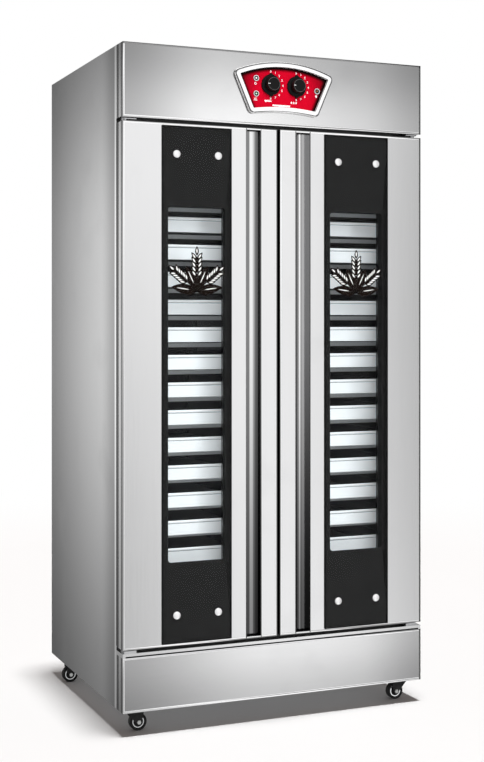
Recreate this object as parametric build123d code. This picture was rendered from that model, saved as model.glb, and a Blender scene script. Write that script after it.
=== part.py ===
from build123d import *
import math
import os

# Double proofing cabinet, in millimetres.
# X runs to the right and Z up. Y is counted from the plane of the door fronts towards the back,
# and the finished pieces are moved so that the origin lies under the middle of the whole cabinet.

# Overall size
CABINET_WIDTH = 950.0
CABINET_DEPTH = 760.0
CABINET_HEIGHT = 1870.0
CASTOR_HEIGHT = 65.0

# Sheet metal and fits
SKIN = 1.2
FLOOR_SHEET = 2.0
FRAME_SHEET = 2.0
LINER_SHEET = 1.0
SEAT_GAP = 0.3
RUNNING_FIT = 0.05
SEAM_WIDTH = 1.5
SEAM_DEPTH = 0.8
SEAM_PLACE = 22.0
EDGE_RADIUS = 1.6

# Front of the casing, from the bottom up
FRONT_DEPTH = 60.0
BASE_HEIGHT = 154.0
SHADOW_GAP = 4.0
SILL_HEIGHT = 8.0
SILL_TAB = 8.0
GAP_UNDER_DOOR = 10.0
GAP_OVER_DOOR = 12.0
FASCIA_HEIGHT = 208.0

# Front frame behind the doors
FRAME_SIDE = 45.0
MULLION_WIDTH = 36.0
FRAME_SILL = 30.0
FRAME_HEAD = 30.0
HEAD_OPENING_WIDTH = 600.0
HEAD_OPENING_MARGIN = 15.0

# Chamber
SIDE_WALL = 40.0
BACK_WALL = 40.0
FRAME_LIP = 5.0
INSULATION = 38.0

# Doors
DOOR_THICKNESS = 55.0
DOOR_MIDDLE_GAP = 10.0
SKIN_RETURN = 21.5
DOOR_SEAM = 1.0

# Door glass and the window in its dark print
GLASS_THICKNESS = 4.0
GLASS_START = 115.0
GLASS_TO_SLOT = 48.5
GLASS_END_MARGIN = 6.5
PRINT_THICKNESS = 0.3
WINDOW_SIDE_MARGIN = 18.5
WINDOW_END_MARGIN = 235.0
WINDOW_CORNER = 10.0
COLLAR_MARGIN = 11.0
COLLAR_WALL = 1.5
REAR_PANE_SETBACK = 8.0
CAP_RADIUS = 11.0
CAP_THICKNESS = 4.0
CAP_SIDE_MARGIN = 42.5
CAP_END_MARGIN = 80.0
CAP_SHANK_RADIUS = 3.0
CAP_SHANK_LENGTH = 14.0

# Recessed handle, as high as the door
SLOT_INSET = 51.5
SLOT_WIDTH = 44.0
SLOT_DEPTH = 18.0
SLOT_ROUND = 17.0
HANDLE_WALL = 1.5
HANDLE_LIP = 2.5
LIP_THICKNESS = 0.8

# Door gasket
GASKET_WIDTH = 10.0
GASKET_INSET = 3.0
GASKET_HINGE_INSET = 16.0

# Hinges: the pivot lies inside the door, near its outer edge
PIVOT_INSET = 15.0
PIVOT_SETBACK = 30.0
BRACKET_THICKNESS = 5.0
BRACKET_INSET = 8.0
BRACKET_WIDTH = 36.0
BRACKET_SETBACK = 12.0
PIN_RADIUS = 5.0
PIN_LENGTH = 25.0
COLLAR_RADIUS = 8.0
BUSH_RADIUS = 8.0
BUSH_LENGTH = 30.0

# Control panel on the fascia, a fan shape with two curved sides
PANEL_OFFSET = 15.0
BEZEL_TOP_HALF_WIDTH = 161.0
BEZEL_TOP_CORNER_HEIGHT = 150.0
BEZEL_CROWN_HEIGHT = 184.0
BEZEL_BOTTOM_HALF_WIDTH = 108.0
BEZEL_BOTTOM_CORNER_HEIGHT = 28.0
BEZEL_SAG_HEIGHT = 37.0
BEZEL_BORDER = 15.0
BEZEL_PROUD = 12.0
BEZEL_CORNER = 16.0
BEZEL_INNER_CORNER = 3.0
PLATE_THICKNESS = 1.5

# Knobs and the controllers that they turn
KNOB_SPACING = 82.0
KNOB_HEIGHT = 116.0
KNOB_LENGTH = 25.0
KNOB_GAP = 0.8
SKIRT_RADIUS = 30.0
SKIRT_THICKNESS = 5.0
GRIP_RADIUS = 21.5
GRIP_DRAFT = 1.5
LUG_WIDTH = 10.0
LUG_REACH = 4.0
POINTER_WIDTH = 2.0
SHAFT_RADIUS = 3.0
SHAFT_DEPTH_IN_KNOB = 18.0
SHAFT_HOLE_RADIUS = 5.0
CONTROLLER_SIZE = 44.0
CONTROLLER_DEPTH = 40.0
CAPILLARY_RADIUS = 1.2
CAPILLARY_BEND = 12.0
CAPILLARY_SETBACK = 110.0
BULB_RADIUS = 4.0
BULB_LENGTH = 70.0
BULB_DROP = 50.0

# Indicator lamps on the control panel
LAMP_RADIUS = 9.0
LAMP_PROUD = 2.5
LAMP_TAIL_RADIUS = 4.0
LAMP_TAIL_LENGTH = 14.0
LENS_RADIUS = 2.5
LENS_PROUD = 1.0
LEFT_LAMP_OFFSET = -87.0
UPPER_LAMP_HEIGHT = 133.0
LOWER_LAMP_HEIGHT = 88.0
RIGHT_LAMP_OFFSET = 108.0
RIGHT_LAMP_HEIGHT = 107.0

# Racks, trays and their rails
LEVELS = 14
SPACE_UNDER_TRAYS = 190.0
SPACE_OVER_TRAYS = 151.0
TRAY_SIDE_GAP = 7.5
TRAY_HEIGHT = 43.0
TRAY_WALL = 1.2
TRAY_TAPER = 4.0
RIM_HEIGHT = 8.0
RIM_WIDTH = 3.0
TRAY_SETBACK = 95.0
TRAY_BACK_GAP = 25.0
POST_THICKNESS = 8.0
MIDDLE_POST_WIDTH = 24.0
POST_DEPTH = 20.0
FRONT_POST_SETBACK = 153.0
REAR_POST_INSET = 90.0
RAIL_SETBACK = 100.0
RAIL_BACK_GAP = 20.0
RAIL_SHEET = 1.5
RAIL_LEG = 14.0
RAIL_LEDGE = 20.0
CROSSBAR_HEIGHT = 12.0
CROSSBAR_DROP = 4.0

# Water pan, heaters and chamber lamps
PAN_WIDTH = 400.0
PAN_LENGTH = 250.0
PAN_HEIGHT = 60.0
PAN_WALL = 1.2
PAN_SETBACK = 180.0
HEATER_RADIUS = 4.0
HEATER_BEND = 20.0
HEATER_TAIL = 15.0
HEATER_OVER_RIM = 20.0
WATER_HEATER_HALF_WIDTH = 60.0
WATER_HEATER_REACH = 40.0
WATER_HEATER_DEPTH = 25.0
AIR_HEATER_HALF_WIDTH = 150.0
AIR_HEATER_SETBACK = 480.0
AIR_HEATER_HEIGHT = 380.0
CHAMBER_LAMP_RADIUS = 40.0
CHAMBER_LAMP_HEIGHT = 45.0
CHAMBER_LAMP_BASE = 15.0
CHAMBER_LAMP_SETBACK = 300.0

# Switchgear in the head of the cabinet, its wiring and the cable gland
SWITCHGEAR_WIDTH = 300.0
SWITCHGEAR_LENGTH = 200.0
SWITCHGEAR_PLATE = 2.0
SWITCHGEAR_SETBACK = 450.0
CONTACTOR_WIDTH = 45.0
CONTACTOR_LENGTH = 75.0
CONTACTOR_HEIGHT = 85.0
TERMINAL_WIDTH = 120.0
TERMINAL_LENGTH = 30.0
TERMINAL_HEIGHT = 40.0
LOOM_RADIUS = 5.0
LOOM_BEND = 25.0
LOOM_OFFSET = 260.0
CHANNEL_DEPTH = 16.0
CHANNEL_WIDTH = 14.0
GLAND_INSET = 95.0
GLAND_DROP = 135.0
GLAND_BORE = 5.0
GLAND_SHANK_RADIUS = 8.0
GLAND_FLANGE_RADIUS = 12.0
GLAND_FLANGE_LENGTH = 8.0
GLAND_CAP_RADIUS = 10.0
GLAND_REACH = 22.0
GLAND_NUT_LENGTH = 5.0
VENT_SLOT_LENGTH = 60.0
VENT_SLOT_HEIGHT = 4.0
VENT_SLOT_COUNT = 6
VENT_SLOT_PITCH = 12.0
PANEL_SCREW_RADIUS = 4.0
PANEL_SCREW_HEAD = 2.2
PANEL_SCREW_SHANK = 1.8
PANEL_SCREW_LENGTH = 9.0
PANEL_SCREW_INSET = 15.0
PANEL_SCREW_ROWS = 5

# Castors
CASTOR_INSET = 43.0
FRONT_CASTOR_SETBACK = 55.0
REAR_CASTOR_INSET = 130.0
WHEEL_RADIUS = 25.0
WHEEL_WIDTH = 20.0
HUB_RADIUS = 8.0
HUB_WIDTH = 23.4
WHEEL_TRAIL = 18.0
AXLE_RADIUS = 4.0
AXLE_HEAD_RADIUS = 6.5
AXLE_HEAD = 3.0
CASTOR_PLATE_LENGTH = 60.0
CASTOR_PLATE_WIDTH = 50.0
CASTOR_PLATE_THICKNESS = 2.5
KINGPIN_RADIUS = 5.0
KINGPIN_HEAD_RADIUS = 7.0
KINGPIN_HEAD = 2.5
RACE_RADIUS = 16.0
FORK_SHEET = 2.5
CROWN_HEIGHT = 53.0
CROWN_THICKNESS = 3.0
LEG_TOP_WIDTH = 32.0
LEG_FOOT_RADIUS = 8.0
CASTOR_BOLT_RADIUS = 3.0
CASTOR_BOLT_HEAD_RADIUS = 5.0
CASTOR_BOLT_HEAD = 3.0
CASTOR_BOLT_INSET = 7.0
CASTOR_BOLT_LENGTH = 12.0

# Heights and places that follow from the sizes above
HALF_WIDTH = CABINET_WIDTH / 2
Z_BASE = CASTOR_HEIGHT
Z_SILL = Z_BASE + BASE_HEIGHT + SHADOW_GAP
Z_BRACKET = Z_SILL + SILL_HEIGHT
Z_DOOR = Z_BRACKET + GAP_UNDER_DOOR
Z_TOP = Z_BASE + CABINET_HEIGHT
Z_FASCIA = Z_TOP - FASCIA_HEIGHT
Z_DOOR_TOP = Z_FASCIA - GAP_OVER_DOOR
Z_INSIDE = Z_BASE + FLOOR_SHEET
Z_INSIDE_TOP = Z_TOP - SKIN
INSIDE_HALF = HALF_WIDTH - SKIN
FRAME_BACK = FRONT_DEPTH + FRAME_SHEET
PANEL_BACK = CABINET_DEPTH - SKIN

CHAMBER_HALF = HALF_WIDTH - SIDE_WALL
CHAMBER_BACK = CABINET_DEPTH - BACK_WALL
Z_OPENING = Z_DOOR + FRAME_SILL
Z_OPENING_TOP = Z_DOOR_TOP - FRAME_HEAD
Z_FLOOR = Z_OPENING - FRAME_LIP
Z_CEILING = Z_OPENING_TOP + FRAME_LIP
LINER_HALF = CHAMBER_HALF + LINER_SHEET
LINER_BACK = CHAMBER_BACK + LINER_SHEET
Z_INSULATION = Z_FLOOR - LINER_SHEET - INSULATION
Z_INSULATION_TOP = Z_CEILING + LINER_SHEET + INSULATION

DOOR_LEFT = -HALF_WIDTH
DOOR_RIGHT = -DOOR_MIDDLE_GAP / 2
PIVOT_X = DOOR_LEFT + PIVOT_INSET
Z_GLASS = Z_DOOR + GLASS_END_MARGIN
Z_GLASS_TOP = Z_DOOR_TOP - GLASS_END_MARGIN
SLOT_X = (DOOR_RIGHT - SLOT_INSET - SLOT_WIDTH, DOOR_RIGHT - SLOT_INSET)
GLASS_X = (DOOR_LEFT + GLASS_START, SLOT_X[0] - GLASS_TO_SLOT)
GLASS_FRONT = -PRINT_THICKNESS - GLASS_THICKNESS
WINDOW_X = (GLASS_X[0] + WINDOW_SIDE_MARGIN, GLASS_X[1] - WINDOW_SIDE_MARGIN)
Z_WINDOW = Z_DOOR + WINDOW_END_MARGIN
Z_WINDOW_TOP = Z_DOOR_TOP - WINDOW_END_MARGIN
COLLAR_X = (WINDOW_X[0] - COLLAR_MARGIN, WINDOW_X[1] + COLLAR_MARGIN)
COLLAR_Z = (Z_WINDOW - COLLAR_MARGIN, Z_WINDOW_TOP + COLLAR_MARGIN)
LINER_START = SKIN_RETURN + DOOR_SEAM

PANEL_X = PANEL_OFFSET
Z_KNOB = Z_FASCIA + KNOB_HEIGHT
KNOB_REACH = PLATE_THICKNESS + KNOB_GAP + KNOB_LENGTH
KNOB_PLACES = (PANEL_X - KNOB_SPACING / 2, PANEL_X + KNOB_SPACING / 2)
LAMP_PLACES = (
    (PANEL_X + LEFT_LAMP_OFFSET, Z_FASCIA + UPPER_LAMP_HEIGHT),
    (PANEL_X + LEFT_LAMP_OFFSET, Z_FASCIA + LOWER_LAMP_HEIGHT),
    (PANEL_X + RIGHT_LAMP_OFFSET, Z_FASCIA + RIGHT_LAMP_HEIGHT),
)

MIDDLE_POST_HALF = MIDDLE_POST_WIDTH / 2
OUTER_POST_FACE = CHAMBER_HALF - POST_THICKNESS
COLUMN_X = (MIDDLE_POST_HALF + OUTER_POST_FACE) / 2
TRAY_WIDTH = OUTER_POST_FACE - MIDDLE_POST_HALF - 2 * TRAY_SIDE_GAP
TRAY_LENGTH = CHAMBER_BACK - TRAY_BACK_GAP - TRAY_SETBACK
RAIL_LENGTH = CHAMBER_BACK - RAIL_BACK_GAP - RAIL_SETBACK
REAR_POST_SETBACK = CHAMBER_BACK - REAR_POST_INSET
FIRST_TRAY_HEIGHT = Z_FLOOR + SPACE_UNDER_TRAYS
LAST_TRAY_HEIGHT = Z_CEILING - SPACE_OVER_TRAYS - TRAY_HEIGHT
LEVEL_PITCH = (LAST_TRAY_HEIGHT - FIRST_TRAY_HEIGHT) / (LEVELS - 1)
TRAY_HEIGHTS = [FIRST_TRAY_HEIGHT + LEVEL_PITCH * level for level in range(LEVELS)]

GLAND_X = HALF_WIDTH - GLAND_INSET
Z_GLAND = Z_TOP - GLAND_DROP

Z_CASTOR_PLATE = Z_BASE - CASTOR_PLATE_THICKNESS
Z_RACE_TOP = Z_CASTOR_PLATE - SEAT_GAP
Z_CROWN_TOP = CROWN_HEIGHT + CROWN_THICKNESS
CASTOR_SPREAD = HALF_WIDTH - CASTOR_INSET
REAR_CASTOR_SETBACK = CABINET_DEPTH - REAR_CASTOR_INSET
CASTOR_PLACES = {
    "front_left": (-CASTOR_SPREAD, FRONT_CASTOR_SETBACK, 1),
    "front_right": (CASTOR_SPREAD, FRONT_CASTOR_SETBACK, -1),
    "rear_left": (-CASTOR_SPREAD, REAR_CASTOR_SETBACK, -1),
    "rear_right": (CASTOR_SPREAD, REAR_CASTOR_SETBACK, 1),
}

# The doors' front plane, once the origin lies under the middle of the whole cabinet
Y_FRONT = KNOB_REACH - (KNOB_REACH + CABINET_DEPTH + GLAND_REACH) / 2


# Shared shapes

def slab(x, y, z):
    """A box between the low and high values along each axis."""
    box = Box(x[1] - x[0], y[1] - y[0], z[1] - z[0], align=(Align.MIN, Align.MIN, Align.MIN))
    return Pos(x[0], y[0], z[0]) * box


def rod(x, z, y_from, y_to, radius):
    """A round bar along Y."""
    bar = Cylinder(radius, y_to - y_from, rotation=(-90, 0, 0), align=(Align.CENTER, Align.CENTER, Align.MIN))
    return Pos(x, y_from, z) * bar


def peg(x, y, z_from, z_to, radius):
    """A round bar along Z."""
    bar = Cylinder(radius, z_to - z_from, align=(Align.CENTER, Align.CENTER, Align.MIN))
    return Pos(x, y, z_from) * bar


def tray_form(x, y, z, wall, open_sides):
    """A folded sheet box, left open on the sides named, such as "+Y"."""
    inner = []
    for axis, (low, high) in zip("XYZ", (x, y, z)):
        inner_low = low - 1 if "-" + axis in open_sides else low + wall
        inner_high = high + 1 if "+" + axis in open_sides else high - wall
        inner.append((inner_low, inner_high))
    return slab(x, y, z) - slab(*inner)


def front_corners(shape, open_below=False):
    """The outer edges of a folded front, without the lower one where it is open below."""
    box = shape.bounding_box()
    corners = []
    for edge in shape.edges().filter_by(lambda edge: abs(edge.center().Y - box.min.Y) < 0.01):
        middle = edge.center()
        at_side = min(abs(middle.X - box.min.X), abs(middle.X - box.max.X)) < 0.01
        at_top = abs(middle.Z - box.max.Z) < 0.01
        at_bottom = abs(middle.Z - box.min.Z) < 0.01 and not open_below
        if at_side or at_top or at_bottom:
            corners.append(edge)
    return corners


def seam_groove(z):
    """The cutter for the shallow upright seam on both sides of the casing front."""
    y = (SEAM_PLACE - SEAM_WIDTH / 2, SEAM_PLACE + SEAM_WIDTH / 2)
    left = slab((-HALF_WIDTH - 1, -HALF_WIDTH + SEAM_DEPTH), y, z)
    return left + mirror(left, about=Plane.YZ)


def pipe(points, bend, radius):
    """A round tube or rod along a bent route."""
    route = FilletPolyline(*points, radius=bend)
    start = Plane(origin=route @ 0, z_dir=route % 0)
    return sweep(start * Circle(radius), path=route)


def mirrored(shapes):
    """The same shapes on the other side of the cabinet's middle plane."""
    return [mirror(shape, about=Plane.YZ) for shape in shapes]


# Casing

def side_panel():
    return slab((-HALF_WIDTH, -INSIDE_HALF), (FRONT_DEPTH, CABINET_DEPTH), (Z_BASE, Z_INSIDE_TOP))


def top_panel():
    return slab((-HALF_WIDTH, HALF_WIDTH), (FRONT_DEPTH, CABINET_DEPTH), (Z_INSIDE_TOP, Z_TOP))


def bottom_panel():
    """The base plate, with the holes for the castor bolts."""
    plate = slab((-INSIDE_HALF, INSIDE_HALF), (SKIN, PANEL_BACK), (Z_BASE, Z_INSIDE))
    for x, y in castor_bolt_places():
        plate -= peg(x, y, Z_BASE - 1, Z_INSIDE + 1, CASTOR_BOLT_RADIUS + RUNNING_FIT)
    return plate


def panel_screw_places():
    """The middles of the screws along both edges of the back panel."""
    x = INSIDE_HALF - PANEL_SCREW_INSET
    z_low = Z_BASE + PANEL_SCREW_INSET
    step = (Z_INSIDE_TOP - PANEL_SCREW_INSET - z_low) / (PANEL_SCREW_ROWS - 1)
    return [(side * x, z_low + row * step) for side in (-1, 1) for row in range(PANEL_SCREW_ROWS)]


def back_panel():
    """The back sheet, with the vent slots of the head, the gland hole and the screw holes."""
    panel = slab((-INSIDE_HALF, INSIDE_HALF), (PANEL_BACK, CABINET_DEPTH), (Z_BASE, Z_INSIDE_TOP))
    y = (PANEL_BACK - 1, CABINET_DEPTH + 1)
    for row in range(VENT_SLOT_COUNT):
        z = Z_GLAND + VENT_SLOT_PITCH * (row - (VENT_SLOT_COUNT - 1) / 2)
        z_slot = (z - VENT_SLOT_HEIGHT / 2, z + VENT_SLOT_HEIGHT / 2)
        panel -= slab((-VENT_SLOT_LENGTH / 2, VENT_SLOT_LENGTH / 2), y, z_slot)
    panel -= rod(GLAND_X, Z_GLAND, *y, GLAND_SHANK_RADIUS + RUNNING_FIT)
    for x, z in panel_screw_places():
        panel -= rod(x, z, *y, PANEL_SCREW_SHANK + RUNNING_FIT)
    return panel


def panel_screw(x, z):
    head = rod(x, z, CABINET_DEPTH, CABINET_DEPTH + PANEL_SCREW_HEAD, PANEL_SCREW_RADIUS)
    shank = rod(x, z, CABINET_DEPTH - PANEL_SCREW_LENGTH, CABINET_DEPTH, PANEL_SCREW_SHANK)
    return head + shank


def top_fascia():
    """The folded front of the head, with holes for the shafts and the lamp tails."""
    z = (Z_FASCIA, Z_TOP)
    fascia = tray_form((-HALF_WIDTH, HALF_WIDTH), (0, FRONT_DEPTH), z, SKIN, ("+Y",))
    fascia = fillet(front_corners(fascia), EDGE_RADIUS)
    fascia -= seam_groove((Z_FASCIA - 1, Z_TOP + 1))
    for x in KNOB_PLACES:
        fascia -= rod(x, Z_KNOB, -1, SKIN + 1, SHAFT_HOLE_RADIUS)
    for x, z_lamp in LAMP_PLACES:
        fascia -= rod(x, z_lamp, -1, SKIN + 1, LAMP_TAIL_RADIUS + RUNNING_FIT)
    return fascia


def base_fascia():
    """The folded front of the base, open below."""
    z = (Z_BASE, Z_BASE + BASE_HEIGHT)
    fascia = tray_form((-HALF_WIDTH, HALF_WIDTH), (0, FRONT_DEPTH), z, SKIN, ("+Y", "-Z"))
    fascia = fillet(front_corners(fascia, open_below=True), EDGE_RADIUS)
    return fascia - seam_groove((Z_BASE - 1, Z_BASE + BASE_HEIGHT + 1))


def base_sill():
    """The channel under the doors, on two tabs that leave a shadow gap over the base."""
    y = (0, FRONT_DEPTH)
    sill = tray_form((-HALF_WIDTH, HALF_WIDTH), y, (Z_SILL, Z_SILL + SILL_HEIGHT), SKIN, ("+Y",))
    tab = slab((-HALF_WIDTH, -HALF_WIDTH + SILL_TAB), y, (Z_SILL - SHADOW_GAP, Z_SILL))
    return sill + tab + mirror(tab, about=Plane.YZ)


def front_frame():
    """The plate that the doors close against, with two door openings and one in the head."""
    y = (FRONT_DEPTH, FRAME_BACK)
    cut = (FRONT_DEPTH - 1, FRAME_BACK + 1)
    frame = slab((-INSIDE_HALF, INSIDE_HALF), y, (Z_INSIDE, Z_INSIDE_TOP))
    opening = slab((-HALF_WIDTH + FRAME_SIDE, -MULLION_WIDTH / 2), cut, (Z_OPENING, Z_OPENING_TOP))
    z_head = (Z_FASCIA + HEAD_OPENING_MARGIN, Z_INSIDE_TOP - HEAD_OPENING_MARGIN)
    head = slab((-HEAD_OPENING_WIDTH / 2, HEAD_OPENING_WIDTH / 2), cut, z_head)
    return frame - opening - mirror(opening, about=Plane.YZ) - head


# Chamber, insulation and what is fixed in them

def water_heater_route():
    """From behind the back liner, over the pan's rim, down into the pan and back."""
    half = WATER_HEATER_HALF_WIDTH
    y_end = LINER_BACK + HEATER_TAIL
    y_turn = PAN_SETBACK + WATER_HEATER_REACH
    y_drop = PAN_SETBACK + PAN_LENGTH - WATER_HEATER_REACH
    z_high = Z_FLOOR + PAN_HEIGHT + HEATER_OVER_RIM
    z_low = Z_FLOOR + WATER_HEATER_DEPTH
    out = [(-half, y_end, z_high), (-half, y_drop, z_high), (-half, y_drop, z_low), (-half, y_turn, z_low)]
    return out + [(-x, y, z) for x, y, z in reversed(out)]


def air_heater_route():
    half = AIR_HEATER_HALF_WIDTH
    y_end = LINER_BACK + HEATER_TAIL
    out = [(-half, y_end, AIR_HEATER_HEIGHT), (-half, AIR_HEATER_SETBACK, AIR_HEATER_HEIGHT)]
    return out + [(-x, y, z) for x, y, z in reversed(out)]


def heater_holes():
    """The cutters for both heaters where they pass the back liner."""
    holes = []
    for route in (water_heater_route(), air_heater_route()):
        for x, y, z in (route[0], route[-1]):
            holes.append(rod(x, z, CHAMBER_BACK - 1, y + 1, HEATER_RADIUS + RUNNING_FIT))
    return holes


def capillary_holes():
    """The cutters for the two capillaries where they pass the ceiling."""
    holes = []
    for x in KNOB_PLACES:
        z = (Z_CEILING - 1, Z_INSULATION_TOP + 1)
        holes.append(peg(x, CAPILLARY_SETBACK, *z, CAPILLARY_RADIUS + SEAT_GAP))
    return holes


def chamber_liner():
    """Five stainless sheets: two walls, floor, ceiling and back."""
    y = (FRAME_BACK, LINER_BACK)
    z_wall = (Z_FLOOR, Z_CEILING)
    wall = slab((-LINER_HALF, -CHAMBER_HALF), y, z_wall)
    floor = slab((-LINER_HALF, LINER_HALF), y, (Z_FLOOR - LINER_SHEET, Z_FLOOR))
    ceiling = slab((-LINER_HALF, LINER_HALF), y, (Z_CEILING, Z_CEILING + LINER_SHEET))
    back = slab((-CHAMBER_HALF, CHAMBER_HALF), (CHAMBER_BACK, LINER_BACK), z_wall)
    for hole in heater_holes():
        back -= hole
    for hole in capillary_holes():
        ceiling -= hole
    return [wall, mirror(wall, about=Plane.YZ), floor, ceiling, back]


def loom_channel():
    """The cutter in the back board for the wires that go down to the heaters."""
    y = (PANEL_BACK - CHANNEL_DEPTH, PANEL_BACK + 1)
    z_low = loom_low() - LOOM_RADIUS - SEAT_GAP
    down = slab((LOOM_OFFSET - CHANNEL_WIDTH / 2, LOOM_OFFSET + CHANNEL_WIDTH / 2), y, (z_low, Z_INSULATION_TOP + 1))
    half = AIR_HEATER_HALF_WIDTH + LOOM_BEND
    across = slab((-half, LOOM_OFFSET + CHANNEL_WIDTH / 2), y, (z_low, AIR_HEATER_HEIGHT + 2 * HEATER_RADIUS))
    return down + across


def insulation_boards():
    """Five boards around the liner: two sides, back, top and bottom."""
    y = (FRAME_BACK, PANEL_BACK)
    z = (Z_INSULATION, Z_INSULATION_TOP)
    side = slab((-INSIDE_HALF, -LINER_HALF), y, z)
    back = slab((-LINER_HALF, LINER_HALF), (LINER_BACK, PANEL_BACK), z) - loom_channel()
    top = slab((-LINER_HALF, LINER_HALF), (FRAME_BACK, LINER_BACK), (Z_CEILING + LINER_SHEET, z[1]))
    bottom = slab((-LINER_HALF, LINER_HALF), (FRAME_BACK, LINER_BACK), (z[0], Z_FLOOR - LINER_SHEET))
    for hole in heater_holes():
        back -= hole
    for hole in capillary_holes():
        top -= hole
    for x, z_screw in panel_screw_places():
        y_screw = (CABINET_DEPTH - PANEL_SCREW_LENGTH, CABINET_DEPTH)
        side -= rod(-abs(x), z_screw, *y_screw, PANEL_SCREW_SHANK + SEAT_GAP)
    return [side, mirror(side, about=Plane.YZ), back, top, bottom]


def rack_posts():
    """Six upright posts from floor to ceiling, three in front and three at the back."""
    posts = []
    for setback in (FRONT_POST_SETBACK, REAR_POST_SETBACK):
        y = (setback, setback + POST_DEPTH)
        outer = slab((-CHAMBER_HALF, -OUTER_POST_FACE), y, (Z_FLOOR, Z_CEILING))
        middle = slab((-MIDDLE_POST_HALF, MIDDLE_POST_HALF), y, (Z_FLOOR, Z_CEILING))
        posts += [outer, middle, mirror(outer, about=Plane.YZ)]
    return posts


def tray_rails():
    """Two angle rails for each tray, with the ledge under the tray's long edges."""
    rails = []
    y = (RAIL_SETBACK, RAIL_SETBACK + RAIL_LENGTH)
    for z_tray in TRAY_HEIGHTS:
        z_top = z_tray - SEAT_GAP
        z_ledge = (z_top - RAIL_SHEET, z_top)
        z_leg = (z_top - RAIL_LEG, z_top)
        outer = slab((-OUTER_POST_FACE, -OUTER_POST_FACE + RAIL_SHEET), y, z_leg)
        outer += slab((-OUTER_POST_FACE, -OUTER_POST_FACE + RAIL_LEDGE), y, z_ledge)
        inner = slab((-MIDDLE_POST_HALF - RAIL_SHEET, -MIDDLE_POST_HALF), y, z_leg)
        inner += slab((-MIDDLE_POST_HALF - RAIL_LEDGE, -MIDDLE_POST_HALF), y, z_ledge)
        rails += [outer, inner]
    return rails + mirrored(rails)


def rack_crossbars():
    """A flat bar across the front posts under each tray."""
    bars = []
    middle = FRONT_POST_SETBACK + POST_DEPTH / 2
    y = (middle - RAIL_SHEET / 2, middle + RAIL_SHEET / 2)
    x = (-OUTER_POST_FACE + RAIL_SHEET, -MIDDLE_POST_HALF - RAIL_SHEET)
    for z_tray in TRAY_HEIGHTS:
        z_top = z_tray - CROSSBAR_DROP
        bars.append(slab(x, y, (z_top - CROSSBAR_HEIGHT, z_top)))
    return bars + mirrored(bars)


def baking_tray():
    """One tapered tray with an upright rim, its floor's underside at height 0."""
    foot = (TRAY_WIDTH - 2 * RIM_WIDTH - 2 * TRAY_TAPER / 2, TRAY_LENGTH - 2 * RIM_WIDTH - 2 * TRAY_TAPER / 2)
    head = (TRAY_WIDTH - RIM_WIDTH, TRAY_LENGTH - RIM_WIDTH)
    outside = loft([Rectangle(*foot), Pos(0, 0, TRAY_HEIGHT) * Rectangle(*head)])
    hollow_foot = Rectangle(foot[0] - 2 * TRAY_WALL, foot[1] - 2 * TRAY_WALL)
    hollow_head = Rectangle(head[0] - 2 * TRAY_WALL, head[1] - 2 * TRAY_WALL)
    hollow = loft([Pos(0, 0, TRAY_WALL) * hollow_foot, Pos(0, 0, TRAY_HEIGHT) * hollow_head])
    rim_sketch = Rectangle(TRAY_WIDTH, TRAY_LENGTH) - hollow_head
    rim = Pos(0, 0, TRAY_HEIGHT - RIM_HEIGHT) * extrude(rim_sketch, RIM_HEIGHT)
    return outside - hollow + rim


def trays(side):
    """The column of trays on one side, -1 for the left and 1 for the right."""
    tray = baking_tray()
    y = TRAY_SETBACK + TRAY_LENGTH / 2
    return [Pos(side * COLUMN_X, y, z) * tray for z in TRAY_HEIGHTS]


def water_pan():
    x = (-PAN_WIDTH / 2, PAN_WIDTH / 2)
    y = (PAN_SETBACK, PAN_SETBACK + PAN_LENGTH)
    return tray_form(x, y, (Z_FLOOR, Z_FLOOR + PAN_HEIGHT), PAN_WALL, ("+Z",))


def chamber_lamps():
    """Two bulkhead lamps under the ceiling, one over each column of trays."""
    lamps = []
    z_base = Z_CEILING - CHAMBER_LAMP_BASE
    for side in (-1, 1):
        x = side * COLUMN_X
        base = peg(x, CHAMBER_LAMP_SETBACK, z_base, Z_CEILING, CHAMBER_LAMP_RADIUS)
        globe = peg(x, CHAMBER_LAMP_SETBACK, Z_CEILING - CHAMBER_LAMP_HEIGHT, z_base, CHAMBER_LAMP_RADIUS * 0.8)
        lamps += [base, fillet(globe.edges().group_by(Axis.Z)[0], CHAMBER_LAMP_RADIUS * 0.4)]
    return lamps


# Control panel

def fan_outline(border):
    """The fan shape of the control panel, drawn inside its outline by the given border."""
    z = Z_FASCIA
    top_left = (-BEZEL_TOP_HALF_WIDTH, z + BEZEL_TOP_CORNER_HEIGHT)
    top_right = (BEZEL_TOP_HALF_WIDTH, z + BEZEL_TOP_CORNER_HEIGHT)
    low_left = (-BEZEL_BOTTOM_HALF_WIDTH, z + BEZEL_BOTTOM_CORNER_HEIGHT)
    low_right = (BEZEL_BOTTOM_HALF_WIDTH, z + BEZEL_BOTTOM_CORNER_HEIGHT)
    crown = ThreePointArc(top_left, (0, z + BEZEL_CROWN_HEIGHT), top_right)
    sag = ThreePointArc(low_right, (0, z + BEZEL_SAG_HEIGHT), low_left)
    fan = make_face([crown, Line(top_right, low_right), sag, Line(low_left, top_left)])
    if border:
        fan = offset(fan, -border, kind=Kind.INTERSECTION)
    return fan


def fan_plate(border, corner, y_front, y_back):
    """A plate of the fan shape between two depths, with rounded corners."""
    fan = fan_outline(border)
    fan = fillet(fan.vertices(), corner)
    plane = Plane(origin=(PANEL_X, y_back, 0), x_dir=(1, 0, 0), z_dir=(0, -1, 0))
    return extrude(plane * fan, y_back - y_front)


def control_bezel():
    """The bright raised border of the control panel."""
    outer = fan_plate(0, BEZEL_CORNER, -BEZEL_PROUD, 0)
    front_edges = outer.edges().filter_by(lambda edge: abs(edge.center().Y + BEZEL_PROUD) < 0.01)
    outer = fillet(front_edges, BEZEL_PROUD / 2)
    return outer - fan_plate(BEZEL_BORDER, BEZEL_INNER_CORNER, -BEZEL_PROUD - 1, 1)


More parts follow.
